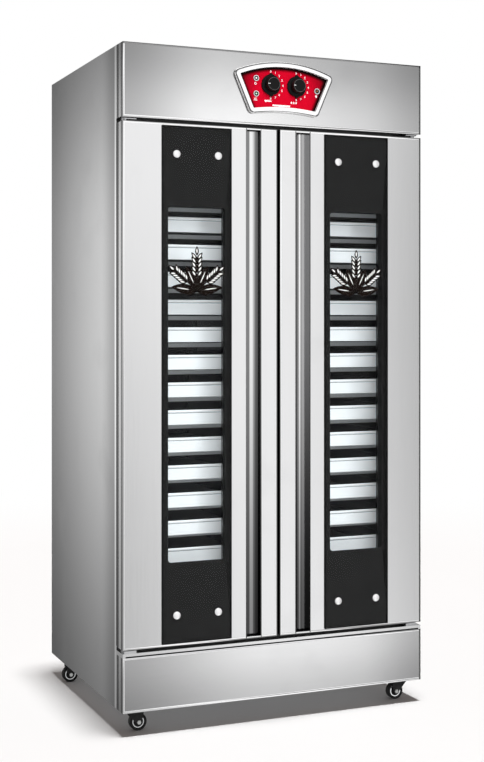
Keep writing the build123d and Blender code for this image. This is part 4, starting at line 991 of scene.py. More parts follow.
class Draft:
    """A mesh that is being drawn, in metres, in the cabinet's own frame."""

    def __init__(self) -> None:
        """Start with an empty mesh."""
        self.mesh = bmesh.new()

    def skin(self, loops: Sequence[Sequence[Vector]], ink: int = 0, closed: bool = False) -> None:
        """Join loops of equal length with bands of faces.

        Args:
            loops: the closed loops of points, in order.
            ink: the material's number.
            closed: whether the last loop joins the first; otherwise both ends are capped.
        """
        rings = [[self.mesh.verts.new(point) for point in loop] for loop in loops]
        pairs = list(zip(rings, rings[1:]))
        if closed:
            pairs.append((rings[-1], rings[0]))
        else:
            for ring in (rings[0], rings[-1]):
                self.mesh.faces.new(ring).material_index = ink
        for first, second in pairs:
            for index, vertex in enumerate(first):
                after = (index + 1) % len(first)
                corners = (vertex, first[after], second[after], second[index])
                self.mesh.faces.new(corners).material_index = ink

    def turned(
        self,
        profile: Profile,
        centre: Vector,
        spin: Spin,
        ink: int = 0,
        segments: int = 64,
        relief: Relief | None = None,
        closed: bool = False,
    ) -> None:
        """Turn a profile around an axis.

        Args:
            profile: radius and place along the axis of each ring.
            centre: where the axis starts.
            spin: the axis.
            ink: the material's number.
            segments: how many steps go round.
            relief: what changes the radius on the way round.
            closed: whether the profile comes back to its start, as in a ring.
        """
        axis, across, aside = spin.value
        loops = []
        for radius, along in profile:
            loop = []
            for step in range(segments):
                angle = 2 * math.pi * step / segments
                reach = relief.reach(radius, along, angle) if relief else radius
                point = centre + axis * along + across * reach * math.cos(angle)
                loop.append(point + aside * reach * math.sin(angle))
            loops.append(loop)
        self.skin(loops, ink, closed)

    def prism(self, outline: Sequence[Vector], depth: Vector, ink: int = 0) -> None:
        """Pull a flat outline along a vector into a closed solid."""
        self.skin([list(outline), [point + depth for point in outline]], ink)

    def block(self, low: Vector, high: Vector, ink: int = 0) -> None:
        """A box between two corners."""
        self.prism(upright_rectangle(low, high, low.y), Vector((0, high.y - low.y, 0)), ink)

    def border(self, low: Vector, high: Vector, wall: float, ink: int = 0) -> None:
        """A rectangular ring that faces forward.

        Args:
            low: its lowest corner.
            high: its highest corner.
            wall: the width of its sides.
            ink: the material's number.
        """
        inset = Vector((wall, 0, wall))
        loops = [upright_rectangle(low, high, y) for y in (low.y, high.y)]
        loops += [upright_rectangle(low + inset, high - inset, y) for y in (high.y, low.y)]
        self.skin(loops, ink, closed=True)

    def hem(self, low: Vector, high: Vector, proud: float) -> None:
        """The folded edge all around a front sheet.

        Args:
            low: the sheet's lowest corner.
            high: its highest corner.
            proud: how far the edge stands in front of the sheet.
        """
        start = Vector((low.x, low.y - proud, low.z))
        self.border(start, Vector((high.x, low.y + proud, high.z)), HEM_WIDTH)
        self.bevel(SMALL_ROUNDING)

    def bevel(self, width: float, steps: int = 2, sharper_than: float = 35.0) -> None:
        """Round off what has been drawn.

        Args:
            width: the width of the rounding.
            steps: how many faces it takes.
            sharper_than: the least angle of an edge that is rounded, in degrees.
        """
        self.mesh.normal_update()
        limit = math.radians(sharper_than)
        bmesh.ops.bevel(
            self.mesh,
            geom=[edge for edge in self.mesh.edges if edge.is_manifold and edge.calc_face_angle(0.0) > limit],
            offset=width,
            segments=steps,
            profile=0.5,
            affect="EDGES",
            clamp_overlap=True,
        )

    def piece(
        self,
        name: str,
        body: str,
        finishes: Sequence[Finish | Finishes],
        replaces: Sequence[str] = (),
    ) -> None:
        """Turn the drawing into a piece of the cabinet.

        Args:
            name: the piece's name.
            body: the body that it rides on.
            finishes: its materials, in the order of their numbers.
            replaces: the nodes that it stands for.
        """
        bmesh.ops.recalc_face_normals(self.mesh, faces=self.mesh.faces)
        for face in self.mesh.faces:
            face.smooth = True
        data = bpy.data.meshes.new(name)
        self.mesh.to_mesh(data)
        self.mesh.free()
        data.set_sharp_from_angle(angle=SMOOTH_BELOW)
        for finish in finishes:
            data.materials.append(finish.material())
        made = bpy.data.objects.new(name, data)
        bpy.context.scene.collection.objects.link(made)
        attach(made, body)
        if replaces:
            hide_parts(*replaces)
        LOG.info("built %s with %d faces", name, len(data.polygons))


@dataclass
class Casing:
    """The outer sheets, the folded fronts and what is screwed to the back."""

    screw_radius: float = 4.0 * MM
    screw_dome: float = 2.1 * MM
    shank_radius: float = 1.7 * MM
    slot_length: float = 4.4 * MM
    slot_width: float = 0.9 * MM
    slot_depth: float = 0.6 * MM
    screw_rows: int = 5
    hem_proud: float = 0.5 * MM
    hem_rise: float = 2.0 * MM
    bead_radius: float = 2.4 * MM
    bead_inset: float = 0.3 * MM
    bead_setback: float = 1.5 * MM
    bead_rise: float = 0.6 * MM
    gland_bore: float = 5.0 * MM
    gland_flange: float = 8.0 * MM
    gland_ribs: int = 18
    sheet: float = 1.3 * MM

    def build(self) -> None:
        """Dress the sheets and draw the screws, the cable gland and the folded edges."""
        dress(Finishes.SIDE_SHEET, "left_side_panel", "right_side_panel")
        dress(Finishes.CASING_BACKWARD, "top_panel", "bottom_panel")
        dress(Finishes.CASING_UPRIGHT, "back_panel")
        # The front frame shows only in the gaps, so it is toned nearly black as painted shade.
        dress(Finishes.FRAME, "front_frame")
        dress(Finishes.FASCIA, "top_fascia")
        dress(Finishes.BASE, "base_fascia")
        dress(Finishes.SILL, "base_sill")
        dress(Finishes.HANDLE, "hinge_brackets")
        dress(Finishes.FIBRE, "insulation_boards")
        dress(Finishes.SWITCH, "switchgear")
        dress(Finishes.WIRE, "wiring_loom")
        dress(Finishes.ZINC, "dial_controllers", "castor_plates", "castor_bolts")
        self.back_screws()
        self.cable_gland()
        self.hems("fascia", *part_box("top_fascia"))
        base_low, base_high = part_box("base_fascia")
        self.hems("base", base_low + Vector((0, 0, self.hem_rise)), base_high)

    def hems(self, name: str, low: Vector, high: Vector) -> None:
        """The folded edges around a front piece, with a round bead along its foot.

        Args:
            name: what the piece is called.
            low: its lowest corner.
            high: its highest corner.
        """
        draft = Draft()
        draft.hem(low, high, self.hem_proud)
        start = low + Vector((self.bead_inset, self.bead_setback, self.bead_rise))
        radius = self.bead_radius
        bead = [(radius, 0.0), (radius, high.x - low.x - 2 * self.bead_inset)]
        draft.turned(bead, start, Spin.ALONG_X, segments=18)
        draft.piece(f"{name}_folded_edges", "root", [Finishes.HEM])

    def back_screws(self) -> None:
        """Domed screw heads with a cross slot, along both edges of the back panel."""
        low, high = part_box("panel_screws")
        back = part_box("back_panel")[1].y
        radius = self.screw_radius
        step = (high.z - low.z - 2 * radius) / (self.screw_rows - 1)
        slots = ((self.slot_length, self.slot_width), (self.slot_width, self.slot_length))
        profile = [(self.shank_radius, low.y - back), (self.shank_radius, 0.0), (radius, 0.0)]
        for turn in range(1, 6):
            angle = math.pi / 2 * turn / 6
            profile.append((radius * math.cos(angle), self.screw_dome * math.sin(angle)))
        draft = Draft()
        for x in (low.x + radius, high.x - radius):
            for row in range(self.screw_rows):
                centre = Vector((x, back, low.z + radius + row * step))
                draft.turned(profile, centre, Spin.ALONG_Y, segments=24)
                top = centre + Vector((0, self.screw_dome, 0))
                for length, width in slots:
                    half = Vector((length / 2, 0, width / 2))
                    draft.block(top - half - Vector((0, self.slot_depth, 0)), top + half, ink=1)
        finishes = [Finishes.ZINC, Finishes.SLEEVE]
        draft.piece("back_screw_heads", "root", finishes, ["panel_screws"])

    def cable_gland(self) -> None:
        """The gland: a nut on each side of the sheet and a ribbed cap, with an open bore."""
        low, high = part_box("cable_gland")
        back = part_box("back_panel")[1].y
        centre = front_middle(low, high, back)
        outer = (high.x - low.x) / 2
        bore = self.gland_bore
        flange = self.gland_flange
        reach = high.y - back
        inner = low.y - back
        nut = [(bore, 0.0), (outer, 0.0), (outer, flange - MM), (outer - MM, flange), (bore, flange)]
        inside = [(bore, inner), (outer, inner), (outer, -self.sheet), (bore, -self.sheet)]
        cap_radius = outer - 2 * MM
        cap = [(bore, flange), (cap_radius, flange), (cap_radius, reach - 4 * MM)]
        cap += [(cap_radius - MM, reach - 1.5 * MM), (cap_radius - 3 * MM, reach), (bore, reach)]
        ribs = Flutes(self.gland_ribs, 0.6 * MM, flange, reach - 3 * MM)
        draft = Draft()
        for hexagon in (nut, inside):
            draft.turned(hexagon, centre, Spin.ALONG_Y, segments=48, relief=Flats(6, bore), closed=True)
        draft.turned(cap, centre, Spin.ALONG_Y, segments=8 * self.gland_ribs, relief=ribs, closed=True)
        draft.piece("mains_cable_gland", "root", [Finishes.GLAND], ["cable_gland"])


@dataclass
class WheatPrint:
    """A printed spray of three wheat ears on a window, dark outlines with pale grains."""

    hand: Hand
    below_window_top: float = 118.0 * MM
    height: float = 128.0 * MM
    fan: float = 50.0
    pairs: int = 5
    first_pair: float = 0.30
    side_reach: float = 0.66
    middle_reach: float = 0.78
    grain_length: float = 27.0 * MM
    grain_width: float = 13.5 * MM
    grain_lean: float = 36.0
    outline: float = 4.4 * MM
    leaf_length: float = 78.0 * MM
    leaf_width: float = 33.0 * MM
    leaf_leans: tuple[float, ...] = (-82.0, 82.0, -25.0, 25.0)
    rib_width: float = 3.2 * MM
    stem_foot: float = 1.8 * MM
    stem_tip: float = 1.0 * MM
    thickness: float = 0.08 * MM

    def grain(self, root: Vector, angle: float, length: float, width: float) -> list[Vector]:
        """One pointed grain.

        Args:
            root: the grain's lower end.
            angle: its lean from upright, in radians.
            length: its length.
            width: its width.

        Returns:
            The outline's points.
        """
        along, aside = leaning(angle)
        steps = 12
        points = []
        for step in range(2 * steps):
            share = step / steps if step <= steps else 2 - step / steps
            side = 1 if step <= steps else -1
            bulge = math.sin(math.pi * share) ** 0.8 * (1 - 0.25 * share)
            points.append(root + along * length * share + aside * side * width / 2 * bulge)
        return points

    def add_grain(self, draft: Draft, root: Vector, angle: float) -> None:
        """Add one outlined grain: dark below, pale above.

        Args:
            draft: the drawing that it goes on.
            root: the grain's lower end.
            angle: its lean from upright, in radians.
        """
        front = Vector((0, -self.thickness, 0))
        draft.prism(self.grain(root, angle, self.grain_length, self.grain_width), front)
        inner = root + leaning(angle)[0] * self.outline * 1.5 + front * 1.05
        length = self.grain_length - 2.8 * self.outline
        width = self.grain_width - 1.9 * self.outline
        draft.prism(self.grain(inner, angle, length, width), front, ink=1)

    def add_leaf(self, draft: Draft, root: Vector, angle: float) -> None:
        """Add one dark leaf with a pale midrib.

        Args:
            draft: the drawing that it goes on.
            root: where it starts.
            angle: its lean from upright, in radians.
        """
        front = Vector((0, -self.thickness * 0.8, 0))
        draft.prism(self.grain(root, angle, self.leaf_length, self.leaf_width), front)
        rib = root + leaning(angle)[0] * self.leaf_length * 0.3 + front * 1.05
        draft.prism(self.grain(rib, angle, self.leaf_length * 0.5, self.rib_width), front * 0.1, ink=1)

    def build(self) -> None:
        """Draw the spray on the inside of the front glass."""
        word = self.hand.value
        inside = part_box(f"{word}_glass_print")[1].y
        pane_low, pane_high = box_where(f"{word}_door_panes", lambda point: point.y > inside)
        z = pane_high.z - self.below_window_top - self.height
        base = Vector(((pane_low.x + pane_high.x) / 2, inside, z))
        draft = Draft()
        for lean in self.leaf_leans:
            self.add_leaf(draft, base, math.radians(lean))
        for lean in (-self.fan, self.fan, 0.0):
            reach = self.height * (self.side_reach if lean else self.middle_reach)
            self.add_ear(draft, base, math.radians(lean), reach)
        self.ribbon(draft, base)
        finishes = [Finishes.DARK_INK, Finishes.PALE_INK]
        draft.piece(f"{word}_window_wheat", f"{word}_door", finishes)

    def add_ear(self, draft: Draft, base: Vector, angle: float, reach: float) -> None:
        """Add one ear: a tapered stem, pairs of grains and a grain at its tip.

        Args:
            draft: the drawing that it goes on.
            base: where the stems meet.
            angle: its lean from upright, in radians.
            reach: the stem's length.
        """
        along, aside = leaning(angle)
        tip = base + along * reach
        foot_half = aside * self.stem_foot
        tip_half = aside * self.stem_tip
        stem = [base - foot_half, base + foot_half, tip + tip_half, tip - tip_half]
        draft.prism(stem, Vector((0, -self.thickness, 0)))
        start = self.height * self.first_pair
        for pair in range(self.pairs):
            root = base + along * (start + (reach - start) * pair / self.pairs)
            for side in (-1, 1):
                lean = angle + side * math.radians(self.grain_lean)
                self.add_grain(draft, root + aside * side * self.stem_tip, lean)
        self.add_grain(draft, tip, angle)

    def ribbon(self, draft: Draft, base: Vector) -> None:
        """The tie around the stems, with two tails.

        Args:
            draft: the drawing that it goes on.
            base: where the stems meet.
        """
        depth = Vector((0, -self.thickness, 0))
        knot = [(-11, -4), (11, -4), (13, 6), (-13, 6)]
        tail = [(0, 2), (34, -7), (27, -14), (-2, -3)]
        draft.prism([base + Vector((x, 0, z)) * MM for x, z in knot], depth)
        for side in (-1, 1):
            draft.prism([base + Vector((side * x, 0, z)) * MM for x, z in tail], depth)


@dataclass
class Door:
    """One door: sheets, grip, glass with its seal and caps, print, sleeve and gasket."""

    hand: Hand
    glass_bevel: float = 0.8 * MM
    seal_width: float = 3.4 * MM
    seal_setback: float = 0.1 * MM
    hem_proud: float = 0.4 * MM
    sleeve_wall: float = 0.25 * MM
    sleeve_fit: float = 0.28 * MM
    cap_radius: float = 11.0 * MM
    cap_fit: float = 0.1 * MM
    washer: float = 0.8 * MM
    shank_radius: float = 2.9 * MM

    @property
    def body(self) -> str:
        """The body that the door's pieces ride on."""
        return f"{self.hand.value}_door"

    def node(self, name: str) -> str:
        """The door's own node or piece of that name."""
        return f"{self.hand.value}_{name}"

    def build(self) -> None:
        """Dress the door's nodes and draw its finer pieces."""
        dress(Finishes.DOOR_SHEET, self.node("door_skin"), self.node("door_liner"))
        dress(Finishes[f"{self.hand.name}_HANDLE"], self.node("door_handle"))
        dress(Finishes.FIBRE, self.node("door_core"))
        dress(Finishes.PRINT, self.node("glass_print"))
        dress(Finishes.BUSH, self.node("door_bushes"))
        dress(Finishes.GASKET, self.node("door_gasket"))
        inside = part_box(self.node("glass_print"))[1].y
        front = box_where(self.node("door_panes"), lambda point: point.y < inside)
        rear = box_where(self.node("door_panes"), lambda point: point.y > inside)
        self.panes(front, rear)
        self.seal(front)
        self.sleeve(rear, inside)
        self.caps(front[0].y)
        self.hem()
        WheatPrint(self.hand).build()

    def panes(self, front: Corners, rear: Corners) -> None:
        """The long front glass with bevelled edges, and the pane behind the window.

        Args:
            front: the corners of the front glass.
            rear: the corners of the rear pane.
        """
        draft = Draft()
        inset = Vector((self.seal_width, 0, self.seal_width))
        draft.block(front[0] + inset, front[1] - inset)
        draft.block(*rear)
        draft.bevel(self.glass_bevel, 3)
        replaced = [self.node("door_panes")]
        draft.piece(self.node("window_panes"), self.body, [Finishes.PANE], replaced)

    def seal(self, front: Corners) -> None:
        """The dark seal around the edge of the front glass.

        Args:
            front: the corners of the front glass.
        """
        draft = Draft()
        draft.border(front[0] + Vector((0, self.seal_setback, 0)), front[1], self.seal_width)
        draft.bevel(SMALL_ROUNDING)
        draft.piece(self.node("glass_seal"), self.body, [Finishes.SLEEVE])

    def hem(self) -> None:
        """The bright folded edge around the door's front."""
        draft = Draft()
        draft.hem(*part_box(self.node("door_skin")), self.hem_proud)
        draft.piece(self.node("door_folded_edge"), self.body, [Finishes.HEM])

    def sleeve(self, rear: Corners, mouth: float) -> None:
        """The dark sleeve that lines the window's collar in front of the rear pane.

        Args:
            rear: the corners of the rear pane.
            mouth: the depth at which the sleeve starts.
        """
        fit = Vector((self.sleeve_fit, 0, self.sleeve_fit))
        low = Vector((rear[0].x, mouth + 0.1 * MM, rear[0].z)) - fit
        high = Vector((rear[1].x, rear[0].y - 0.3 * MM, rear[1].z)) + fit
        draft = Draft()
        draft.border(low, high, self.sleeve_wall)
        draft.piece(self.node("window_sleeve"), self.body, [Finishes.SLEEVE])

    def caps(self, glass: float) -> None:
        """Four flat bright caps with a small dimple, each on a thin dark washer, with their shanks.

        Args:
            glass: the depth of the glass's front face.
        """
        low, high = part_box(self.node("glass_caps"))
        radius = self.cap_radius
        rim = radius * 0.995
        top = low.y - glass + self.cap_fit
        shank = self.shank_radius
        washer = [(radius, 0.0), (radius, -self.washer), (shank, -self.washer), (shank, 0.0)]
        dome = [(shank, high.y - glass), (shank, -self.washer), (rim, -self.washer), (rim, top + 1.2 * MM)]
        dome += [(rim - 0.35 * MM, top + 0.35 * MM), (rim - 1.2 * MM, top), (2.4 * MM, top)]
        dome += [(1.9 * MM, top + 0.5 * MM), (0.2 * MM, top + 0.6 * MM)]
        draft = Draft()
        for x in (low.x + radius, high.x - radius):
            for z in (low.z + radius, high.z - radius):
                centre = Vector((x, glass, z))
                draft.turned(dome, centre, Spin.ALONG_Y, segments=48)
                draft.turned(washer, centre, Spin.ALONG_Y, ink=1, segments=48, closed=True)
        finishes = [Finishes.CAP, Finishes.SLEEVE]
        draft.piece(self.node("bright_caps"), self.body, finishes, [self.node("glass_caps")])


@dataclass
class Knob:
    """A skirted control knob with two lugs, a fluted grip and a white pointer."""

    node: str
    skirt_depth: float = 4.8 * MM
    grip_radius: float = 21.5 * MM
    grip_draft: float = 1.3 * MM
    lug_width: float = 10.0 * MM
    lug_rounding: float = 3.0 * MM
    flute_count: int = 30
    flute_depth: float = 0.5 * MM
    pointer_width: float = 1.5 * MM
    pointer_from: float = 0.6
    ring_inset: float = 1.9 * MM
    ring_width: float = 1.0 * MM

    def build(self) -> None:
        """Draw skirt, lugs, grip, pointer, and the thin grey ring on the grip's face that is a painted
        highlight.
        """
        low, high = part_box(self.node)
        skirt = (high.x - low.x) / 2 - 0.05 * MM
        face = low.y - high.y + 0.3 * MM
        centre = front_middle(low, high, high.y)
        grip = self.grip_radius
        top = grip - self.grip_draft
        profile = [(skirt - 0.8 * MM, 0.0), (skirt, -0.8 * MM), (skirt, -3.6 * MM)]
        profile += [(skirt - 1.2 * MM, -self.skirt_depth), (grip + 1.5 * MM, -5.6 * MM)]
        profile += [(grip + 0.4 * MM, -6.4 * MM), (grip, -7.0 * MM), (top, face + 3.2 * MM)]
        profile += [(top - 0.5 * MM, face + 1.2 * MM), (top - 1.6 * MM, face + 0.2 * MM)]
        profile += [(top - 3.0 * MM, face), (top - 3.8 * MM, face + 0.5 * MM), (2 * MM, face + 0.5 * MM)]
        flutes = Flutes(self.flute_count, self.flute_depth, face + 3.0 * MM, -6.9 * MM)
        draft = Draft()
        draft.turned(profile, centre, Spin.ALONG_Y, segments=180, relief=flutes)
        for side in (-1, 1):
            self.lug(draft, centre, side, skirt, (high.z - low.z) / 2)
        half = self.pointer_width / 2
        y = centre.y + face
        pointer_low = Vector((centre.x - top + 1.6 * MM, y - 0.2 * MM, centre.z - half))
        pointer_high = Vector((centre.x - top * self.pointer_from, y + MM, centre.z + half))
        draft.block(pointer_low, pointer_high, ink=1)
        # the ring's grey is a painted highlight along the face's edge
        outer = top - self.ring_inset
        inner = outer - self.ring_width
        ring = [(outer, face + MM), (outer, face), (inner, face), (inner, face + MM)]
        draft.turned(ring, centre + Vector((0, 0.05 * MM, 0)), Spin.ALONG_Y, ink=2, closed=True)
        finishes = [Finishes.KNOB, Finishes.WHITE_INK, Finishes.KNOB_RING]
        draft.piece(f"{self.node}_grip", self.node, finishes, [self.node])

    def lug(self, draft: Draft, centre: Vector, side: int, skirt: float, reach: float) -> None:
        """Add one rounded lug.

        Args:
            draft: the drawing that it goes on.
            centre: the knob's middle at its back.
            side: 1 for the upper lug and -1 for the lower one.
            skirt: the skirt's radius.
            reach: how far the lug goes from the middle.
        """
        half = self.lug_width / 2
        foot = side * (skirt - 4 * MM)
        shoulder = reach - self.lug_rounding
        outline = [Vector((half, 0, foot))]
        for point in arc(Vector(), half, 0, 180, 8, self.lug_rounding / half):
            outline.append(Vector((point.x, 0, side * (shoulder + point.z))))
        outline.append(Vector((-half, 0, foot)))
        draft.prism([centre + point for point in outline], Vector((0, -self.skirt_depth, 0)))


@dataclass
class Pictograms:
    """Small plain signs printed on the control panel's face."""

    draft: Draft
    depth: Vector

    def stroke(self, first: Vector, second: Vector, width: float) -> None:
        """A straight stroke between two points."""
        along = (second - first).normalized()
        aside = Vector((along.z, 0, -along.x)) * width / 2
        self.draft.prism([first - aside, first + aside, second + aside, second - aside], self.depth)

    def thermometer(self, middle: Vector) -> None:
        """A thermometer that lies on its side, its bulb at the left."""
        bulb = middle + Vector((-8, 0, 0)) * MM
        tip = middle + Vector((9, 0, 0)) * MM
        outline = arc(bulb, 3.2 * MM, 35, 325, 14) + arc(tip, 1.8 * MM, -90, 90, 6)
        self.draft.prism(outline, self.depth)
        for step in range(3):
            foot = middle + Vector((-1 + 4 * step, 0, 3)) * MM
            self.stroke(foot, foot + Vector((0, 0, 2)) * MM, 1.2 * MM)

    def drops(self, middle: Vector) -> None:
        """Three drops of water side by side."""
        for step in (-1, 0, 1):
            outline = []
            for turn in range(24):
                angle = 2 * math.pi * turn / 24
                width = 3.4 * math.sin(angle) * abs(math.sin(angle / 2)) ** 1.4
                outline.append(middle + Vector((7.5 * step + width, 0, 3.8 * math.cos(angle))) * MM)
            self.draft.prism(outline, self.depth)

    def power(self, middle: Vector) -> None:
        """A broken ring with an upright stroke."""
        outline = arc(middle, 3.6 * MM, 125, 415, 20) + arc(middle, 2.3 * MM, 415, 125, 20)
        self.draft.prism(outline, self.depth)
        self.stroke(middle + Vector((0, 0, 0.6)) * MM, middle + Vector((0, 0, 4.6)) * MM, 1.3 * MM)

    def heat(self, middle: Vector) -> None:
        """Three slanting strokes over a bar."""
        for step in (-1, 0, 1):
            foot = middle + Vector((3.4 * step - 0.7, 0, -1.6)) * MM
            self.stroke(foot, foot + Vector((1.4, 0, 5)) * MM, 1.3 * MM)
        self.stroke(middle + Vector((-5.5, 0, -3.2)) * MM, middle + Vector((5.5, 0, -3.2)) * MM, 1.3 * MM)

    def bulb(self, middle: Vector) -> None:
        """A light bulb."""
        outline = arc(middle + Vector((0, 0, 1.2)) * MM, 3.0 * MM, -50, 230, 18)
        outline += [middle + Vector((x, 0, -3.6)) * MM for x in (-1.4, 1.4)]
        self.draft.prism(outline, self.depth)


@dataclass
class ControlPanel:
    """Bezel, printed face with its dials and signs, lamps and knobs."""

    dial_radius: float = 39.0 * MM
    dial_marks: int = 9
    numeral_height: float = 6.6 * MM
    font_size_per_height: float = 1.35
    numeral_weight: float = 0.2 * MM
    bar_width: float = 56.0 * MM
    bar_height: float = 5.0 * MM
    bar_shift: float = -7.0 * MM
    bar_rise: float = 12.0 * MM
    knob_sign_shift: float = -8.0 * MM
    knob_sign_drop: float = 13.0 * MM
    lamp_sign_shift: float = -2.0 * MM
    lamp_sign_drop: float = 6.5 * MM
    ink: float = 0.12 * MM
    lamp_radius: float = 9.0 * MM
    lamp_socket: float = 6.2 * MM
    lamp_tail: float = 3.9 * MM
    lens_radius: float = 2.45 * MM
    knobs: tuple[str, str] = ("temperature_knob", "humidity_knob")

    def build(self) -> None:
        """Dress the panel and draw what is on it."""
        low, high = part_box("control_bezel")
        shape = FanShape((low.x + high.x) / 2, high.z)
        # Both finishes paint shade: on the face towards its corners and under the bezel's edges, and on the
        # bezel in a groove line and at its foot.
        dress(PrintedFace("red_panel_print_painted_shade", shape), "control_plate")
        dress(BezelPlating("bezel_plating_painted_shade", shape, low.y), "control_bezel")
        for knob in self.knobs:
            Knob(knob).build()
            self.dial(knob)
        self.signs()
        self.lamps()

    def dial(self, knob: str) -> None:
        """Print the plain numbers around a knob, clockwise from the top to the bottom.

        Args:
            knob: the knob's node.
        """
        centre = front_middle(*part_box(knob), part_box("control_plate")[0].y)
        draft = Draft()
        for mark in range(self.dial_marks):
            outward = leaning(math.pi * mark / (self.dial_marks - 1))[0]
            self.numeral(draft, str(mark), centre + outward * self.dial_radius)
        draft.piece(f"{knob}_dial_numbers", "root", [Finishes.WHITE_INK])

    def numeral(self, draft: Draft, text: str, place: Vector) -> None:
        """Add one printed number.

        Args:
            draft: the drawing that it goes on.
            text: the number.
            place: its middle, on the printed face.
        """
        curve = bpy.data.curves.new("numeral", "FONT")
        curve.body = text
        curve.size = self.numeral_height * self.font_size_per_height
        curve.extrude = self.ink / 2
        curve.offset = self.numeral_weight
        curve.resolution_u = 3
        curve.align_x = "CENTER"
        curve.align_y = "CENTER"
        written = bpy.data.objects.new("numeral", curve)
        bpy.context.scene.collection.objects.link(written)
        graph = bpy.context.evaluated_depsgraph_get()
        data = bpy.data.meshes.new_from_object(written.evaluated_get(graph))
        lift = Vector((0, self.ink / 2, 0))
        data.transform(Matrix.Translation(place - lift) @ Matrix.Rotation(math.pi / 2, 4, "X"))
        draft.mesh.from_mesh(data)
        bpy.data.objects.remove(written)
        bpy.data.meshes.remove(data)

    def signs(self) -> None:
        """Print the plain bar, and a small sign under each knob and lamp."""
        low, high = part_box("control_plate")
        face = low.y
        draft = Draft()
        signs = Pictograms(draft, Vector((0, -self.ink, 0)))
        x = (low.x + high.x) / 2 + self.bar_shift
        z = low.z + self.bar_rise
        half = self.bar_width / 2
        signs.stroke(Vector((x - half, face, z)), Vector((x + half, face, z)), self.bar_height)
        for knob, sign in zip(self.knobs, (signs.thermometer, signs.drops)):
            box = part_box(knob)
            x = (box[0].x + box[1].x) / 2 + self.knob_sign_shift
            sign(Vector((x, face, box[0].z - self.knob_sign_drop)))
        for box, sign in zip(self.lamp_boxes(), (signs.power, signs.heat, signs.bulb)):
            x = (box[0].x + box[1].x) / 2 + self.lamp_sign_shift
            sign(Vector((x, face, box[0].z - self.lamp_sign_drop)))
        draft.piece("panel_signs", "root", [Finishes.WHITE_INK])

    @staticmethod
    def lamp_boxes() -> list[Corners]:
        """The boxes of the upper left, the lower left and the right lamp."""
        low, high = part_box("lamp_bezels")
        x = (low.x + high.x) / 2
        z = (low.z + high.z) / 2
        return [
            box_where("lamp_bezels", lambda point: point.x < x and point.z > z),
            box_where("lamp_bezels", lambda point: point.x < x and point.z < z),
            box_where("lamp_bezels", lambda point: point.x > x),
        ]

    def lamps(self) -> None:
        """Bright rings, dark sockets and small lenses."""
        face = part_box("control_plate")[0].y
        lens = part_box("lamp_lenses")[0].y
        outer = self.lamp_radius
        inner = self.lamp_socket
        radius = self.lens_radius
        rings = Draft()
        lenses = Draft()
        for number, (low, high) in enumerate(self.lamp_boxes()):
            centre = front_middle(low, high, 0.0)
            flange = low.y
            ring = [(outer, face), (outer, flange + 0.8 * MM), (outer - 0.8 * MM, flange)]
            ring += [(inner + 0.6 * MM, flange), (inner, flange + 0.6 * MM), (inner, face)]
            rings.turned(ring, centre, Spin.ALONG_Y, segments=48, closed=True)
            socket = [(inner, flange + 1.1 * MM), (inner, face), (self.lamp_tail, face)]
            socket += [(self.lamp_tail, high.y), (radius, high.y), (radius, flange + 1.1 * MM)]
            rings.turned(socket, centre, Spin.ALONG_Y, ink=1, segments=48, closed=True)
            dome = [(radius, high.y - 0.2 * MM), (radius, lens + 1.6 * MM), (radius * 0.85, lens + 0.8 * MM)]
            dome += [(radius * 0.5, lens + 0.25 * MM), (radius * 0.1, lens + 0.05 * MM)]
            lenses.turned(dome, centre, Spin.ALONG_Y, ink=number, segments=24)
        metals = [Finishes.CHROME, Finishes.BLACK_INK]
        rings.piece("lamp_rings", "root", metals, ["lamp_bezels"])
        colours = [Finishes.CLEAR_LENS, Finishes.GREEN_LENS, Finishes.AMBER_LENS]
        lenses.piece("lamp_domes", "root", colours, ["lamp_lenses"])


